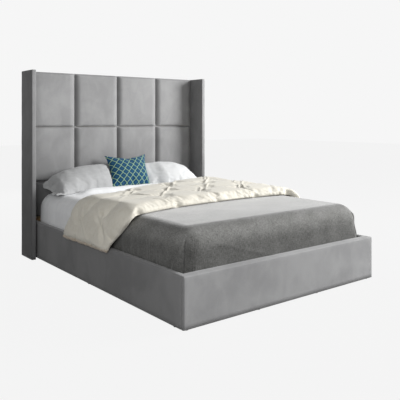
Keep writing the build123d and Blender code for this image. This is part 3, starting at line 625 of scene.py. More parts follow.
def swell(piece, pinned, pressure, growth, cap, frames, bend):
    """Puffs up a soft piece with a short cloth simulation: pinned(place, normal) gives each point's hold."""
    mesh = piece.data
    group = piece.vertex_groups.new(name="held")
    start = [vert.co.copy() for vert in mesh.vertices]
    for vert in mesh.vertices:
        hold = pinned(vert.co, vert.normal)
        if hold > 0:
            group.add([vert.index], min(hold, 1.0), "REPLACE")
    cloth = add_modifier(piece, "CLOTH").settings
    for name, value in {
        "quality": 4, "mass": 0.2, "air_damping": 2, "tension_stiffness": 12, "compression_stiffness": 12,
        "shear_stiffness": 6, "bending_stiffness": bend, "use_pressure": True, "uniform_pressure_force": pressure,
        "shrink_min": -growth, "vertex_group_mass": group.name,
    }.items():
        setattr(cloth, name, value)
    cloth.effector_weights.gravity = 0
    scene = bpy.context.scene
    for number in range(1, frames + 1):
        scene.frame_set(number)
    puffed = evaluated_mesh(piece)
    scene.frame_set(1)
    piece.modifiers.clear()
    for vert, first in zip(puffed.vertices, start):
        move = vert.co - first
        if move.length > cap:
            vert.co = first + move * (cap / move.length)
    piece.data = puffed
    piece.vertex_groups.clear()


def subdivide(piece):
    """One level of subdivision, the same in view and render."""
    add_modifier(piece, "SUBSURF", levels=1, render_levels=1)


def node_copy(node):
    """A welded copy of a CAD node's mesh."""
    bm = bmesh.new()
    bm.from_mesh(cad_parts[node].data)
    bmesh.ops.remove_doubles(bm, verts=bm.verts[:], dist=WELD)
    return bm


def remesh(piece, voxel):
    """Gives a closed piece an even mesh."""
    add_modifier(piece, "REMESH", mode="VOXEL", voxel_size=voxel)
    bake_modifiers(piece)
    piece.data.shade_smooth()


def set_cloth_map(piece, spot):
    """Writes the cloth's own flat places, spot(place, normal), in the piece's UV map."""
    mesh = piece.data
    layer = mesh.uv_layers.get("cloth") or mesh.uv_layers.new(name="cloth")
    for polygon in mesh.polygons:
        for loop in polygon.loop_indices:
            vert = mesh.vertices[mesh.loops[loop].vertex_index]
            layer.data[loop].uv = spot(vert.co, polygon.normal)


# Headboard

PUCKER_WAVES = 62  # gathers along a seam, to the metre
PUCKER_REACH = 0.022
SEAM_LIFT = 0.002  # height of a pad at its seam
STAPLE_LENGTH = 0.011
STAPLE_WIRE = 0.0012
STAPLE_INSET = 0.012


def pad_height_at(from_edge, roll):
    """Rise of a pad's rounded side, from 0 at the seam to 1 past the roll."""
    return 1 - (1 - min(from_edge / roll, 1.0)) ** 2.2


def gathers(along, from_seam, seed, sizes):
    """Small gathers that a seam draws into the cloth beside it."""
    return sizes.pucker * wander((along, from_seam * 0.2, seed), PUCKER_WAVES) * exp(-from_seam / PUCKER_REACH)


def pad_mesh(low, high, seed, sizes):
    """One headboard pad: rolled sides, crowned face, gathers along its seams and a flat back."""
    width, height = high.x - low.x, high.z - low.z
    middle = (low + high) / 2
    columns, rows = (60, 54) if width < 1 else (170, 40)
    depth = backing_front - low.y
    bm = bmesh.new()
    bmesh.ops.create_grid(bm, x_segments=columns, y_segments=rows, size=1)
    for vert in bm.verts:
        across, up = sin(vert.co.x * pi / 2), sin(vert.co.y * pi / 2)
        x, z = across * width / 2, up * height / 2
        side, end = width / 2 - abs(x), height / 2 - abs(z)
        drop = (1 - pad_height_at(side, sizes.pad_roll)) ** 2 + (1 - pad_height_at(end, sizes.pad_end_roll)) ** 2
        rise = max(0.0, 1 - sqrt(drop))
        crown = sizes.pad_crown * (1 - across ** 2) * (1 - up ** 4)
        puckers = gathers(z, side, seed, sizes) + gathers(x, end, seed + 5, sizes)
        waves = sizes.softness * wander((x, z, seed), 9) * rise
        lift = SEAM_LIFT + (depth - SEAM_LIFT - sizes.pad_crown) * rise + crown + puckers * rise ** 0.3 + waves
        vert.co = (middle.x + x, backing_front - lift, middle.z + z)
    rim = [edge for edge in bm.edges if edge.is_boundary]
    walls = bmesh.ops.extrude_edge_only(bm, edges=rim)["geom"]
    back = [item for item in walls if isinstance(item, bmesh.types.BMEdge) and item.is_boundary]
    for vert in {vert for edge in back for vert in edge.verts}:
        vert.co.y = backing_front
    bmesh.ops.edgeloop_fill(bm, edges=back)
    bmesh.ops.recalc_face_normals(bm, faces=bm.faces[:])
    return bm


class BED_OT_pads(bpy.types.Operator):
    """Eight sewn pads and the plain lower pad of the headboard"""

    bl_idname = "bed.pads"
    bl_label = "Headboard pads"

    def execute(self, context):
        sizes = context.scene.bed_sizes
        nodes = [f"{row}_pad_{column}" for row in ("upper", "middle") for column in (1, 2, 3, 4)]
        for seed, node in enumerate(nodes + ["lower_pad"]):
            low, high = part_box(node)
            if node.startswith("upper"):
                high.z += sizes.top_pad
            bm = pad_mesh(low, high, seed * 3.1, sizes)
            piece = add_piece(f"{node}_velvet", bm, pad_velvet, [node])
        return {"FINISHED"}


class BED_OT_headboard_edges(bpy.types.Operator):
    """Padded strip over the headboard, and the stapled cloth on its back"""

    bl_idname = "bed.headboard_edges"
    bl_label = "Headboard edge and back"

    def execute(self, context):
        sizes = context.scene.bed_sizes
        low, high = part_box("headboard_edge_cover")
        high.z += sizes.top_pad
        bm = box_mesh(low, high)
        round_edges(bm, [edge for edge in bm.edges if along_axis(edge, 0)], 0.0025, 3)
        slice_all(bm, 0.03)
        push_out(bm, lambda place, normal: 0.0008 * wander(place, 20) if normal.z > 0.3 else 0)
        strip = add_piece("headboard_edge_velvet", bm, pad_velvet, ["headboard_edge_cover"])

        low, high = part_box("headboard_back_cover")
        bm = box_mesh(low, high)
        slice_all(bm, 0.04)

        def sag(place, normal):
            edge = min(place.x - low.x, high.x - place.x, place.z - low.z, high.z - place.z)
            pull = sizes.softness * 1.6 * wander(place, 5) * smooth(edge / 0.1)
            gather = 0.0008 * wander((place.x * 3, 0, place.z * 3), 16) * exp(-edge / 0.05)
            return max(pull + gather, -0.0006) if normal.y > 0.5 else 0
        push_out(bm, sag)
        back = add_piece("headboard_back_cloth", bm, dust_cloth, ["headboard_back_cover"])

        bm = bmesh.new()
        for x in spread(low.x + 0.05, high.x - 0.05, 24):
            for z in (low.z + STAPLE_INSET, high.z - STAPLE_INSET):
                self.add_staple(bm, (x, high.y, z), 0)
        for z in spread(low.z + 0.05, high.z - 0.05, 20):
            for x in (low.x + STAPLE_INSET, high.x - STAPLE_INSET):
                self.add_staple(bm, (x, high.y, z), pi / 2)
        add_piece("back_cloth_staples", bm, zinc)
        return {"FINISHED"}

    def add_staple(self, bm, place, turn):
        """The crown of one staple, half sunk in the back cloth."""
        size = Matrix.Diagonal((STAPLE_LENGTH, STAPLE_WIRE, STAPLE_WIRE, 1))
        place = Vector(place) + Vector((0, STAPLE_WIRE / 2, 0))
        matrix = Matrix.Translation(place) @ Matrix.Rotation(turn, 4, "Y") @ size
        verts = bmesh.ops.create_cube(bm, size=1, matrix=matrix)["verts"]
        round_edges(bm, {edge for vert in verts for edge in vert.link_edges}, STAPLE_WIRE / 4, 2)


# Wings, rails and foot end

SEAM_WIDTH, SEAM_DEPTH = 0.0035, 0.0022
SEAM_CUTS = (-0.006, -0.003, 0, 0.003, 0.006)  # mesh lines beside a sewn seam


def velvet_shell(low, high, round_up, seams, step, sizes, seed):
    """A padded velvet cover: a box with rounded edges, open underneath, with sewn seams drawn in."""
    bm = box_mesh(low, high)
    for radius, keep in round_up:
        edges = [edge for edge in bm.edges if keep((edge.verts[0].co + edge.verts[1].co) / 2, edge)]
        round_edges(bm, edges, radius, 5)
    extra = [[], [], []]
    for axis, place in seams:
        extra[axis] += [place + beside for beside in SEAM_CUTS]
    slice_all(bm, step, extra)
    underside = [face for face in bm.faces if face.normal.z < -0.9 and face_height(face) < low[2] + NEAR]
    bmesh.ops.delete(bm, geom=underside, context="FACES_ONLY")

    def soft(place, normal):
        edge = smooth(min(place.z - low[2], high[2] - place.z, 0.05) / 0.05)
        move = sizes.softness * (wander(place, 8, seed) + 0.35 * wander(place, 30, seed)) * edge
        for axis, seam in seams:
            move += groove(place[axis] - seam, SEAM_WIDTH, SEAM_DEPTH)
        return move
    push_out(bm, soft)
    return bm


def add_cover(name, bm, recipe, node, wall):
    """Makes a velvet shell a padded cover with a wall."""
    piece = add_piece(name, bm, recipe, [node])
    add_wall(piece, wall)
    bake_modifiers(piece)


class BED_OT_wings(bpy.types.Operator):
    """The two wings of the headboard, with a sewn band along their front edge"""

    bl_idname = "bed.wings"
    bl_label = "Wings"

    def execute(self, context):
        sizes = context.scene.bed_sizes
        for side in ("left", "right"):
            low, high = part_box(f"{side}_wing_cover")
            high.z += sizes.top_pad
            rounds = [(0.006, lambda middle, edge: along_axis(edge, 2) or middle.z > high.z - NEAR)]
            bm = velvet_shell(low, high, rounds, [(1, low.y + 0.012)], 0.03, sizes, len(side))
            add_cover(f"{side}_wing_velvet", bm, wing_velvet, f"{side}_wing_cover", 0.003)
        return {"FINISHED"}


class BED_OT_rails(bpy.types.Operator):
    """The padded side rails"""

    bl_idname = "bed.rails"
    bl_label = "Side rails"

    def execute(self, context):
        sizes = context.scene.bed_sizes
        for side, sign in (("left", -1), ("right", 1)):
            low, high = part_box(f"{side}_rail_cover")
            outer = sign * max(abs(low.x), abs(high.x))

            def on_top(middle, edge):
                return along_axis(edge, 1) and middle.z > high.z - NEAR
            rounds = [
                (sizes.cover_radius, lambda middle, edge: on_top(middle, edge) and abs(middle.x - outer) < 1e-3),
                (0.006, lambda middle, edge: on_top(middle, edge) and abs(middle.x - outer) > 0.03),
            ]
            bm = velvet_shell(low, high, rounds, [], 0.028, sizes, 2.0 + sign)
            add_cover(f"{side}_rail_velvet", bm, velvet, f"{side}_rail_cover", 0.0028)
        return {"FINISHED"}


class BED_OT_foot_end(bpy.types.Operator):
    """The padded foot end with its rounded corners"""

    bl_idname = "bed.foot_end"
    bl_label = "Foot end"

    def execute(self, context):
        sizes = context.scene.bed_sizes
        low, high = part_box("foot_cover")
        rounds = [
            (0.010, lambda middle, edge: along_axis(edge, 2) and middle.y < low.y + NEAR),
            (sizes.cover_radius, lambda middle, edge: middle.z > high.z - NEAR and middle.y < high.y - 1e-3),
        ]
        bm = velvet_shell(low, high, rounds, [(1, low.y + 0.022)], 0.026, sizes, 9.0)
        add_cover("foot_end_velvet", bm, velvet, "foot_cover", 0.0028)
        return {"FINISHED"}


# Mattress and sheets

def bed_skin(grow, foot, head, hem, step, corner, sizes):
    """The outside of the mattress grown outwards, as an open skin between two places along the bed."""
    low = Vector((mattress_low.x - grow, mattress_low.y - grow, hem))
    high = Vector((mattress_high.x + grow, mattress_high.y + grow, bed_top + grow))
    bm = box_mesh(low, high)
    round_edges(bm, upright_edges(bm), corner + grow, 9)
    round_edges(bm, max(bm.faces, key=face_height).edges, sizes.edge_radius + grow, 8)
    base = [face for face in bm.faces if face_height(face) < hem + WELD]
    bmesh.ops.delete(bm, geom=base, context="FACES_ONLY")
    slice_all(bm, step)
    soften(bm, grow, sizes.soft_edge, PLEAT_ROOM if grow < THIN_SKIN else 0.0)
    for place, clear in ((foot, "clear_inner"), (head, "clear_outer")):
        if low.y < place < high.y:
            bmesh.ops.bisect_plane(
                bm, geom=whole(bm), plane_co=(0, place, 0), plane_no=(0, 1, 0), **{clear: True}
            )
    return bm


def soften(bm, grow, radius, draw_in=0.0):
    """Rounds the edges of something laid over the mattress; draw_in leaves room for a pleat at its foot corners."""
    reach = radius + grow
    for vert in bm.verts:
        down = bed_top + grow - vert.co.z
        sideways = max(0.0, reach - (mattress_side + grow - abs(vert.co.x)))
        foot_way = max(0.0, reach - (vert.co.y - mattress_low.y + grow))
        head_way = max(0.0, reach - (mattress_high.y + grow - vert.co.y))
        endways = max(foot_way, head_way)
        out = Vector((sideways, endways, max(0.0, reach - down)))
        room = draw_in * smooth(min(sideways, foot_way) / 0.05)
        pull = max(0.0, 1 - reach / max(out.length, reach)) * (1 - smooth((down - reach) / 0.10))
        vert.co.x -= (pull * sideways + room) * (1 if vert.co.x > 0 else -1)
        vert.co.y += pull * endways * (1 if foot_way > head_way else -1) + room
        vert.co.z -= pull * out.z


def cloth_drop(hem, sizes):
    """Cloth that hangs past the mattress edge down to a hem, less what it saves by rounding the edge."""
    return bed_top - hem - (2 - pi / 2) * sizes.soft_edge


def cloth_spot(place, normal):
    """Flat place on a cloth laid over the mattress: across and along, in metres."""
    drop = max(0.0, bed_top - place.z)
    if abs(normal.x) > max(abs(normal.y), 0.5):
        return ((abs(place.x) + drop) * (1 if place.x > 0 else -1), place.y)
    if normal.y < -0.5:
        return (place.x, place.y - drop)
    return (place.x, place.y)


class BED_OT_mattress(bpy.types.Operator):
    """The mattress and its fitted sheet"""

    bl_idname = "bed.mattress"
    bl_label = "Mattress and fitted sheet"

    def execute(self, context):
        sizes = context.scene.bed_sizes
        bm = box_mesh(mattress_low, mattress_high)
        round_edges(bm, upright_edges(bm), sizes.mattress_corner, 9)
        round_edges(bm, max(bm.faces, key=face_height).edges, sizes.edge_radius, 6)
        round_edges(bm, min(bm.faces, key=face_height).edges, 0.025, 4)
        slice_all(bm, 0.03)
        soften(bm, 0.0, sizes.soft_edge, PLEAT_ROOM)
        piece = add_piece("mattress_body", bm, ticking, ["mattress"])

        low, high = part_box("fitted_sheet")
        grow, hem = high.x - mattress_side, low.z
        bm = bed_skin(grow, -2, 2, hem, sizes.cloth_step, sizes.mattress_corner, sizes)

        def wrinkles(place, normal):
            side = smooth((abs(place.x) - 0.70) / 0.05)
            upright = 0.0030 * wander((0, place.y, place.z * 0.25), 17, 3) * side
            ripple = 0.0022 * wander((place.x * 0.6, place.y, 0), 9, 7) * (1 - side)
            corner = smooth((place.y - 0.80) / 0.12) * side
            pulls = 0.0040 * abs(wander((0, place.y * 1.4, place.z * 1.2), 14, 11)) * corner
            tuck = smooth((place.z - hem) / 0.03)
            return (max(-0.0012, upright * 0.5) + abs(ripple) * 0.4 + pulls) * tuck
        push_out(bm, wrinkles)
        sheet = add_piece("fitted_sheet_cotton", bm, sheet_cotton, ["fitted_sheet"])
        add_wall(sheet, 0.0012)
        drop = cloth_drop(hem, sizes)
        width = 2 * (mattress_side + drop)
        length = mattress_high.y - mattress_low.y + 2 * drop
        width * length - 4 * drop * drop
        return {"FINISHED"}


class BED_OT_top_sheet(bpy.types.Operator):
    """The top sheet with its puffed turned-down edge"""

    bl_idname = "bed.top_sheet"
    bl_label = "Top sheet"

    def execute(self, context):
        sizes = context.scene.bed_sizes
        low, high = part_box("top_sheet")
        grow = high.x - mattress_side
        bm = bed_skin(grow, low.y, high.y, low.z, sizes.cloth_step * 0.7, sizes.corner_radius, sizes)
        rise_at = high.z - bed_top - grow

        def lie(place, normal):
            if place.z < bed_top - 0.02:
                hang = smooth((place.z - low.z) / 0.04)
                folds = 0.0035 * wander((0, place.y, place.z * 0.2), 15, 2)
                edge = 0.002 * exp(-(((place.y - high.y + 0.01) / 0.01) ** 2))
                return (max(0.0, folds) + edge) * hang
            across = smooth((place.x + 0.59) / 0.14) * smooth((0.29 - place.x) / 0.12)
            run = (TURNDOWN_HEAD - place.y) / TURNDOWN_RUN
            roll = sin(pi * min(max(run, 0.0), 1.0)) ** 0.75 if 0 < run < 1 else 0.0
            waves = 1 + 0.10 * wander((place.x, 0, 0), 12, 4)
            lay = 0.0018 * abs(wander((place.x * 0.5, place.y, 0), 12, 8))
            return rise_at * roll * across * waves * 0.95 + lay
        push_out(bm, lie)
        sheet = add_piece("top_sheet_cotton", bm, sheet_cotton, ["top_sheet"])
        add_wall(sheet, 0.0014)
        flat_width = 2 * (mattress_side + cloth_drop(low.z, sizes))
        return {"FINISHED"}


BLANKET_FOLDS = (
    # place along the side from the foot, width and height of each soft fold
    (0.17, 0.020, 0.0040), (0.235, 0.024, 0.0060), (0.305, 0.016, 0.0095), (0.345, 0.014, 0.0050),
    (0.43, 0.028, 0.0055), (0.50, 0.024, 0.0060), (0.60, 0.030, 0.0055), (0.72, 0.030, 0.0045),
)
PLEAT_AT = 0.062  # way round the corner to the blanket's corner pleat
PLEAT_DEPTH = 0.020


class BED_OT_blanket(bpy.types.Operator):
    """The grey blanket, tucked in over the foot half of the mattress"""

    bl_idname = "bed.blanket"
    bl_label = "Blanket"

    def execute(self, context):
        sizes = context.scene.bed_sizes
        low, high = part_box("blanket")
        grow = high.z - bed_top
        bm = bed_skin(grow, -2, high.y, low.z, sizes.cloth_step * 0.45, sizes.corner_radius, sizes)
        foot = low.y
        radius = sizes.corner_radius + grow
        quarter = radius * pi / 2

        def round_corner(place):
            """Way round the corner: 0 where the foot face ends, a quarter turn where the side starts."""
            over_x = abs(place.x) - (mattress_side - sizes.corner_radius)
            over_y = (foot + radius) - place.y
            if over_x > 0 and over_y > 0:
                return radius * atan2(over_x, over_y)
            return over_x if over_x <= 0 else quarter - over_y

        def tucked_corner(place):
            """The envelope fold at a foot corner: a pleat drawn in, and the flap's edge that runs down beside it."""
            way = round_corner(place)
            height = (place.z - low.z) / (bed_top - low.z)
            fade = smooth((0.86 - height) / 0.16)
            if way < PLEAT_AT:
                pleat = -PLEAT_DEPTH * smooth(way / PLEAT_AT)
            else:
                pleat = -PLEAT_DEPTH * smooth((PLEAT_AT + 0.010 - way) / 0.010)
            edge_at = 0.075 + 0.075 * max(0.0, 1 - height) ** 1.4
            flap = 0.0085 * exp(-(((way - edge_at) / 0.011) ** 2))
            step_in = 0.0045 * smooth((way - PLEAT_AT - 0.006) / 0.008) * smooth((edge_at - way) / 0.012)
            pleat *= 1 - 0.6 * smooth((0.30 - height) / 0.30)
            return fade * (pleat + flap * smooth((0.9 - height) / 0.2) + step_in)

        def lie(place, normal):
            hang = smooth((place.z - low.z) / 0.05) * 0.5 + 0.5
            down = smooth((bed_top - place.z - 0.02) / 0.10)
            along = place.y - foot
            way = round_corner(place)
            folds = tucked_corner(place) if way > -0.02 and along < 0.30 and abs(place.x) > 0.6 else 0.0
            if abs(place.x) > mattress_side - 0.03:
                for spot, width, depth in BLANKET_FOLDS:
                    drift = 0.014 * wander((0, 0, place.z), 9, spot * 40) + 0.05 * (place.z - low.z)
                    folds += depth * exp(-(((along - spot - drift) / width) ** 2)) * down * hang
                folds += 0.0022 * wander((0, place.y, place.z * 0.3), 14, 1) * down
            elif place.y < foot + 0.03:
                folds += 0.0026 * wander((place.x, 0, place.z * 0.3), 8, 6) * down * hang
                pull = 0.30 * (place.x + 0.50) + (place.z - 0.40)
                folds += 0.0030 * exp(-((pull / 0.010) ** 2)) * smooth((place.x + 0.62) / 0.05) * down
            top = 0.0016 * wander((place.x, place.y, 0), 4, 9) if place.z > bed_top else 0
            return folds + top
        push_out(bm, lie)
        blanket = add_piece("blanket_cloth", bm, heather, ["blanket"])
        set_cloth_map(blanket, cloth_spot)
        add_wall(blanket, 0.0032)
        flat_width = 2 * (mattress_side + cloth_drop(low.z, sizes))
        high.y - foot + cloth_drop(low.z, sizes)
        return {"FINISHED"}


# Duvet

def duvet_spot(place, normal):
    """Flat place on the duvet: across from the middle of the bed and along it, in metres."""
    drop = max(0.0, 0.55 - place.z)
    if normal.y < -0.35 and place.z > 0.50:
        return place.x, place.y - drop
    side = 1 if place.x > 0 else -1
    return side * (min(abs(place.x), DUVET_HALF) + drop), place.y


# Places across the bed and along it, on the duvet laid flat
DUVET_TUCKS = (
    (-0.350, -0.190), (0.012, -0.150), (0.372, -0.174), (0.690, -0.214),
    (-0.500, -0.020), (-0.160, 0.020), (0.200, 0.010), (0.560, 0.000),
    (-0.380, 0.170), (0.020, 0.236), (0.380, 0.250), (0.690, 0.230),
    (0.200, 0.430), (0.560, 0.440), (0.690, 0.640),
    (-0.902, -0.214), (-0.902, 0.080), (0.902, 0.008), (0.902, 0.440),
)
FOOT_PINCHES = ((-0.702, -0.459), (-0.343, -0.378), (0.017, -0.371), (0.380, -0.376), (0.688, -0.430))
TUCK_ARMS = (
    # direction of each pleat at a pintuck in degrees, its length and height share, and the side of its valley
    (-130, 0.34, 1.00, 1), (47, 0.24, 0.90, -1), (-52, 0.14, 0.25, 1), (128, 0.15, 0.35, -1),
    (-163, 0.13, 0.30, 1), (12, 0.14, 0.30, -1),
)


def filled(away):
    """How far the filling lifts the cloth next to a pintuck."""
    return 0.023 * max(0.0, 1 - away / 0.075) ** 2.1


def pleat_fans():
    """Each pinched place of the duvet, how deep it sinks, and its pleats."""
    fans = []
    for number, (across, along) in enumerate(DUVET_TUCKS):
        share = 0.5 if abs(across) > 0.8 else 1.0
        pleats = []
        for spoke, (turn, length, height, valley) in enumerate(TUCK_ARMS):
            jitter = wander((number * 1.7, spoke * 2.9, 0.5), 1.0)
            turn = radians(turn) + 0.22 * jitter
            length *= 1 + 0.5 * wander((number * 2.3, spoke * 1.1, 7.5), 1.0)
            height *= share * (1 + 0.4 * jitter)
            if along < -0.10 and turn < 0:
                length, height = 0.5 * length, 0.6 * height
            pleats.append(
                (across, along, cos(turn), sin(turn), length, height, valley, 0.0075, 0.0125, 0.20 * jitter)
            )
        fans.append((across, along, share, pleats))
    for number, (across, along) in enumerate(FOOT_PINCHES[1:]):
        pleats = []
        for spoke in range(4):
            jitter = wander((number * 3.1, spoke * 1.3, 20.5), 1.0)
            first = (across - 0.150 + 0.036 * spoke, along + 0.075 - 0.010 * spoke + 0.03 * jitter)
            last = (across - 0.028 + 0.0085 * spoke, along - 0.060)
            run, rise = last[0] - first[0], last[1] - first[1]
            length = hypot(run, rise)
            height = 0.55 + 0.3 * jitter
            pleats.append((*first, run / length, rise / length, length, height, 1, 0.0085, 0.0052, 0.10))
        fans.append((across - 0.07, along, 0.0, pleats))
    return fans


def pleat_height(spot, fans, sizes):
    """How far the duvet's face stands out at a flat place, next to its pintucks."""
    total = 0.0
    for across, along, sink, pleats in fans:
        away = hypot(spot[0] - across, spot[1] - along)
        if away > 0.34:
            continue
        if sink:
            total += filled(away) - sink * sizes.tuck_depth * exp(-((away / 0.020) ** 2))
        for first_x, first_y, out_x, out_y, length, height, valley, narrow, wide, bow in pleats:
            run, rise = spot[0] - first_x, spot[1] - first_y
            share = (run * out_x + rise * out_y) / length
            if not 0 < share < 1:
                continue
            width = narrow + (wide - narrow) * share
            beside = run * out_y - rise * out_x - bow * length * share * (1 - share)
            if abs(beside) > 5 * width:
                continue
            body = smooth(share * length / 0.02) * smooth((1 - share) / 0.6)
            ridge = exp(-((beside / width) ** 2)) - 0.35 * exp(-(((beside - valley * 2.1 * width) / width) ** 2))
            total += sizes.crease * height * body * ridge
    return total


class BED_OT_duvet(bpy.types.Operator):
    """The cream duvet: puffed between its pintucks by a short simulation, then creased"""

    bl_idname = "bed.duvet"
    bl_label = "Duvet"

    def execute(self, context):
        sizes = context.scene.bed_sizes
        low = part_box("duvet")[0]
        piece = add_piece("duvet_cotton", node_copy("duvet"), cream, ["duvet"])
        remesh(piece, 0.011)

        def outward(place):
            """Which way the outside of the duvet faces at a place."""
            lean = smooth((0.56 - place.z) / 0.08)
            return Vector((lean * (1 if place.x > 0 else -1), 0, 1 - lean)).normalized()

        def outside(place, normal):
            """1 on the outer face of the duvet, 0 on the face that lies on the bed."""
            return smooth((normal.dot(outward(place)) + 0.15) / 0.4)

        def held(place, normal):
            spot = duvet_spot(place, normal)
            near = min(hypot(spot[0] - across, spot[1] - along) for across, along in DUVET_TUCKS)
            return max(1 - outside(place, normal), 1.0 if near < 0.016 else 0.0)
        swell(piece, held, pressure=2.0, growth=0.03, cap=0.014, frames=14, bend=0.05)
        subdivide(piece)
        bake_modifiers(piece)

        fans = pleat_fans()
        moves = []
        for vert in piece.data.vertices:
            place, normal = vert.co, vert.normal
            face = outside(place, normal)
            if face == 0 and normal.y > -0.3:
                continue
            spot = duvet_spot(place, normal)
            share = max(face, smooth(-normal.y) if place.z > 0.515 else 0.0)
            height = pleat_height(spot, fans, sizes)
            hem = smooth((low.z + 0.045 - place.z) / 0.03)
            crumple = 0.0080 * wander(place, 26, 3) * hem
            seam = groove(place.z - (low.z + 0.030 + 0.006 * wander(place, 11, 5)), 0.005, 0.006)
            height += (crumple + seam) * face
            move = normal * height * share
            pinch = min(((spot[0] - across) / 0.028) ** 2 for across, along in FOOT_PINCHES)
            edge = smooth((low.y + 0.16 - place.y) / 0.05)
            move.y += (0.022 * exp(-pinch) - 0.004) * edge * smooth(-normal.y)
            moves.append((vert, move))
        for vert, move in moves:
            vert.co += move
        piece.data.update()
        piece.data.shade_smooth()
        return {"FINISHED"}


# Pillows and cushion

def table_at(rows, share):
    """Smoothly reads a table whose first column rises from 0 to 1."""
    for first, second in zip(rows, rows[1:]):
        if share <= second[0]:
            way = (share - first[0]) / (second[0] - first[0])
            way = smooth(way) * 0.5 + 0.5 * way
            return [start + (end - start) * way for start, end in zip(first[1:], second[1:])]
    return rows[-1][1:]


def soft_halves(columns, rows, spot):
    """A closed cushion from two grids that share their rim: spot(u, v, side) places each point."""
    bm = bmesh.new()
    for side in (1, -1):
        for vert in bmesh.ops.create_grid(bm, x_segments=columns, y_segments=rows, size=1)["verts"]:
            vert.co = spot(sin(vert.co.x * pi / 2), sin(vert.co.y * pi / 2), side)
    bmesh.ops.remove_doubles(bm, verts=bm.verts[:], dist=WELD)
    bmesh.ops.recalc_face_normals(bm, faces=bm.faces[:])
    return bm


# Stations across a pillow: share of the way in from its outer end; then, in metres, how far its low and its high
# edge stand from the headboard pads, the rise of its high edge, and half its thickness
LEFT_PILLOW = (
    (0.00, 0.352, 0.060, 0.048, 0.012), (0.05, 0.345, 0.050, 0.074, 0.030), (0.14, 0.325, 0.036, 0.112, 0.054),
    (0.28, 0.298, 0.024, 0.142, 0.064), (0.48, 0.262, 0.017, 0.174, 0.066), (0.62, 0.238, 0.017, 0.187, 0.062),
    (0.74, 0.222, 0.017, 0.193, 0.058), (0.86, 0.202, 0.017, 0.199, 0.048), (0.92, 0.140, 0.018, 0.206, 0.026),
    (1.00, 0.112, 0.020, 0.206, 0.014),
)
RIGHT_PILLOW = (
    (0.00, 0.243, 0.040, 0.060, 0.010), (0.06, 0.250, 0.032, 0.090, 0.036), (0.20, 0.256, 0.022, 0.138, 0.060),
    (0.40, 0.256, 0.017, 0.172, 0.070), (0.62, 0.246, 0.017, 0.186, 0.064), (0.82, 0.196, 0.020, 0.188, 0.034),
    (1.00, 0.140, 0.026, 0.182, 0.012),
)
OPEN_END = 0.11  # share of the left pillow's width that is its empty open end


class BED_OT_pillows(bpy.types.Operator):
    """Two white pillows that lean on the headboard; the left one shows its open end"""

    bl_idname = "bed.pillows"
    bl_label = "Pillows"

    def execute(self, context):
        for node, side, stations in (("left_pillow", -1, LEFT_PILLOW), ("right_pillow", 1, RIGHT_PILLOW)):
            low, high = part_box(node)
            outer = low.x if side < 0 else high.x
            width = high.x - low.x

            def spot(u, v, face):
                share = (u + 1) / 2
                low_run, high_run, rise, swell_out = table_at(stations, share)
                pull = 1 - 0.020 * (1 - v * v)
                x = outer - side * width * (0.5 + 0.5 * u * pull)
                foot = Vector((x, high.y - low_run, low.z + 0.004))
                head = Vector((x, high.y - high_run, low.z + rise))
                line = head - foot
                out = Vector((0, -line.z, line.y)).normalized()
                bulge = (max(0.0, 1 - abs(v) ** 2.2)) ** 0.62 * (max(0.0, 1 - abs(u) ** (5 if u < 0 else 12))) ** 0.5
                flange = smooth((OPEN_END - share) / 0.05) if side < 0 else 0.0
                bulge *= 1 - 0.93 * flange
                corner = (abs(u) * abs(v)) ** 6
                place = foot + line * (0.5 + 0.5 * v) + out * face * swell_out * bulge
                ruffle = 0.004 * wander((x, v * 0.3, face), 22, 4) * bulge
                creases = 0.005 * sin(9 * atan2(1 - abs(v) + 0.02, (1 - abs(u)) * 2 + 0.02) + 2 * face)
                creases *= exp(-hypot((1 - abs(u)) * 2.2, 1 - abs(v)) / 0.35) * bulge
                place += out * face * (ruffle + creases)
                if flange:
                    waves = 0.008 * sin(6.5 * v + 1.1) + 0.004 * sin(15 * v) * (1 - share / OPEN_END)
                    place += out * flange * waves
                    place.x += side * 0.006 * sin(11 * v) * flange
                place.z += 0.010 * corner * (1 if v > 0 else 0)
                place.z = max(place.z, low.z + 0.0005 + 0.002 * (1 - abs(v)))
                place.y = min(place.y, high.y - 0.0005)
                return place
            piece = add_piece(f"{node}_cotton", soft_halves(80, 48, spot), pillow_cotton, [node])

            def held(place, normal):
                rest = smooth((low.z + 0.012 - place.z) / 0.01)
                lean = smooth((place.y - high.y + 0.012) / 0.01)
                return max(rest, lean)
            swell(piece, held, pressure=1.5, growth=0.020, cap=0.010, frames=14, bend=0.1)
            subdivide(piece)
            piece.data.shade_smooth()
        return {"FINISHED"}


CUSHION_FRONT, CUSHION_BACK = 0.060, 0.036  # how far each face stands out in the middle
CUSHION_DIP = 0.24  # share of its upper half that the knocked-in top edge sinks


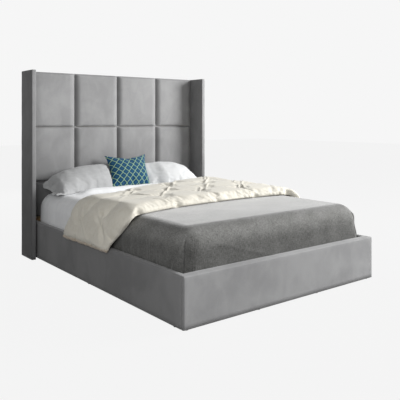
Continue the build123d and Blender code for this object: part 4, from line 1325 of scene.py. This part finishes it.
class BED_OT_cushion(bpy.types.Operator):
    """The small blue cushion with its pale trellis, its top edge knocked in"""

    bl_idname = "bed.cushion"
    bl_label = "Cushion"

    def execute(self, context):
        low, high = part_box("cushion")
        foot = Vector((0, low.y + 0.080, low.z + 0.004))
        head = Vector((0, high.y - 0.012, high.z + 0.004))
        line = head - foot
        out = Vector((0, -line.z, line.y)).normalized()
        width = high.x - low.x
        middle = (high.x + low.x) / 2

        def spot(u, v, face):
            knock = CUSHION_DIP * (1 - abs(u) ** 1.5) if v > 0 else 0.015 * (1 - u * u)
            up = v * (1 - knock * abs(v))
            across = u * width / 2 * (0.965 + 0.010 * v) * (1 - 0.10 * (1 - v * v) * abs(u))
            lean = 0.0115 - 0.020 * (1 - v) / 2
            bulge = (max(0.0, 1 - abs(u) ** 2.6) * max(0.0, 1 - abs(v) ** 2.6)) ** 0.62
            place = foot + line * (0.5 + 0.5 * up) + out * (CUSHION_FRONT if face > 0 else -CUSHION_BACK) * bulge
            place.x = middle + across + lean
            creases = 0.004 * sin(8 * atan2(1 - abs(v) + 0.03, 1 - abs(u) + 0.03) + face + u)
            creases *= exp(-hypot(1 - abs(u), 1 - abs(v)) / 0.28) * min(1.0, bulge * 3)
            chop = -0.012 * exp(-((u / 0.16) ** 2)) * smooth((v - 0.15) / 0.6) * bulge
            place += out * face * (creases + chop)
            place.z = max(place.z, low.z + 0.0005)
            return place
        bm = soft_halves(64, 60, spot)
        piece = add_piece("cushion_cloth", bm, lattice, ["cushion"])
        slope = line.normalized() / width
        centre = foot + line / 2
        set_cloth_map(piece, lambda place, normal: ((place.x - middle) / width, (place - centre).dot(slope)))
        swell(piece, lambda place, normal: smooth((low.z + 0.010 - place.z) / 0.008),
              pressure=2.0, growth=0.03, cap=0.006, frames=12, bend=0.2)
        subdivide(piece)
        piece.data.shade_smooth()
        return {"FINISHED"}


# Frame pieces that keep their CAD shape

class BED_OT_frame_finishes(bpy.types.Operator):
    """Timber, board, steel and plastic on the pieces of the frame"""

    bl_idname = "bed.frame_finishes"
    bl_label = "Frame finishes"

    def execute(self, context):
        recipes = {
            timber_across: ["headboard_top_rail", "headboard_middle_rails", "headboard_lower_rails",
                            "headboard_bottom_rail"],
            timber_up: ["left_headboard_stile", "right_headboard_stile", "headboard_centre_stile",
                        "centre_leg_1", "centre_leg_2", "centre_leg_3"],
            timber_along: ["left_slat_ledge", "right_slat_ledge", "centre_beam"],
            birch: ["slats"],
            chipboard: ["headboard_backing_board", "left_wing_board", "right_wing_board", "left_rail_board",
                        "right_rail_board", "foot_board"],
            powder_coat: [f"{side}_{end}_corner_bracket" for side in ("left", "right") for end in ("foot", "head")]
            + ["foot_beam_hanger", "head_beam_hanger"],
            zinc: ["wing_bolts", "wing_insert_nuts", "bracket_bolts", "ledge_screws", "slat_screws",
                   "levelling_foot_1", "levelling_foot_2", "levelling_foot_3"],
            nylon: ["floor_glides", "wing_glides"],
        }
        for recipe, nodes in recipes.items():
            for node in nodes:
                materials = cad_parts[node].data.materials
                materials.clear()
                materials.append(finish_of(recipe))
        return {"FINISHED"}


# Stage

CAMERA_PLACE = (-2.4886, -3.3624, 1.0856)
FAR_CLIP = 60
LAMP_AIM = Vector((0, 0.2, 0.5))
LAMPS = (
    # name of the lamp and of its power in the settings, its place and its size
    ("key", (4.6, -2.6, 2.6), 2.3),
    ("side", (-3.2, -3.0, 1.7), 1.5),
    ("back", (0.8, 4.8, 2.0), 2.0),
)
FLOOR_HALF = 20
FLOOR_GREY = 0.4  # the matt floor that other surfaces are lit by
FLOOR_GLOW = 0.97  # how much of the seen floor glows like the backdrop; the matt rest holds the shadow


def seen_rays(nodes):
    """1 for rays that show the backdrop: from the camera, in gloss and through glass."""
    camera, gloss, glass = (
        nodes.add("ShaderNodeLightPath", out=f"Is {kind} Ray") for kind in ("Camera", "Glossy", "Transmission")
    )
    return camera.calc("MAXIMUM", gloss).calc("MAXIMUM", glass)


class BED_OT_stage(bpy.types.Operator):
    """Camera, lamps, pale floor and white backdrop"""

    bl_idname = "bed.stage"
    bl_label = "Stage"

    def execute(self, context):
        scene = context.scene
        studio = scene.bed_studio
        scene.view_settings.view_transform = "Standard"
        camera = link("camera", bpy.data.cameras.new("camera"))
        camera.location = CAMERA_PLACE
        camera.rotation_euler = (pi / 2, 0, studio.yaw)
        camera.data.lens = studio.lens
        camera.data.shift_y = studio.shift
        camera.data.clip_end = FAR_CLIP
        scene.camera = camera
        for name, place, size in LAMPS:
            lamp = link(name, bpy.data.lights.new(name, "AREA"))
            lamp.data.energy = getattr(studio, name)
            lamp.data.size = size
            lamp.location = place
            lamp.rotation_euler = (LAMP_AIM - Vector(place)).to_track_quat("-Z", "Y").to_euler()
        self.light_world(scene, studio)
        bm = bmesh.new()
        bmesh.ops.create_grid(bm, x_segments=1, y_segments=1, size=FLOOR_HALF)
        mesh = mesh_of("floor", bm)
        mesh.materials.append(self.floor_material(studio))
        link("floor", mesh)
        return {"FINISHED"}

    def light_world(self, scene, studio):
        """A room of even light that looks white to the camera, in gloss and through glass."""
        scene.world = bpy.data.worlds.new("room")
        scene.world.use_nodes = True
        room = Nodes(scene.world.node_tree)
        light, seen = (
            room.add("ShaderNodeBackground", None, {"Color": [grey] * 3}) for grey in (studio.fill, studio.backdrop)
        )
        both = room.add("ShaderNodeMixShader", None, {0: seen_rays(room), 1: light, 2: seen})
        room.feed(room.tree.nodes["World Output"].inputs[0], both)

    def floor_material(self, studio):
        """Pale floor that keeps a soft shadow and otherwise matches the backdrop."""
        material = bpy.data.materials.new("pale_floor")
        material.use_nodes = True
        floor = Nodes(material.node_tree)
        matt = floor.add("ShaderNodeBsdfDiffuse", None, {"Color": [FLOOR_GREY] * 3})
        glow = floor.add("ShaderNodeEmission", None, {"Color": [studio.backdrop] * 3})
        both = floor.add("ShaderNodeMixShader", None, {0: seen_rays(floor) * FLOOR_GLOW, 1: matt, 2: glow})
        floor.feed(floor.tree.nodes["Material Output"].inputs[0], both)
        return material


operators = (
    BED_OT_stage, BED_OT_frame_finishes, BED_OT_pads, BED_OT_headboard_edges, BED_OT_wings, BED_OT_rails,
    BED_OT_foot_end, BED_OT_mattress, BED_OT_top_sheet, BED_OT_blanket, BED_OT_duvet, BED_OT_pillows,
    BED_OT_cushion,
)


class BED_PT_panel(bpy.types.Panel):
    """Lists the steps that dress the bed"""

    bl_idname = "BED_PT_panel"
    bl_label = "Wingback bed"
    bl_space_type = "VIEW_3D"
    bl_region_type = "UI"
    bl_category = "Bed"

    def draw(self, context):
        for group in (context.scene.bed_sizes, context.scene.bed_colours, context.scene.bed_studio):
            for name in group.__annotations__:
                self.layout.prop(group, name)
        for operator in operators:
            self.layout.operator(operator.bl_idname)


groups = {"bed_sizes": Sizes, "bed_colours": Colours, "bed_studio": Studio}
classes = (*groups.values(), *operators, BED_PT_panel)


def register():
    """Registers the classes and their settings."""
    for item in classes:
        bpy.utils.register_class(item)
    for name, group in groups.items():
        setattr(bpy.types.Scene, name, PointerProperty(type=group))


def unregister():
    """Takes the settings and the classes away again."""
    for name in groups:
        delattr(bpy.types.Scene, name)
    for item in reversed(classes):
        bpy.utils.unregister_class(item)


def main():
    """Dresses the whole bed."""
    register()
    for operator in operators:
        family, step = operator.bl_idname.split(".")
        getattr(getattr(bpy.ops, family), step)()


if __name__ == "__main__":
    main()
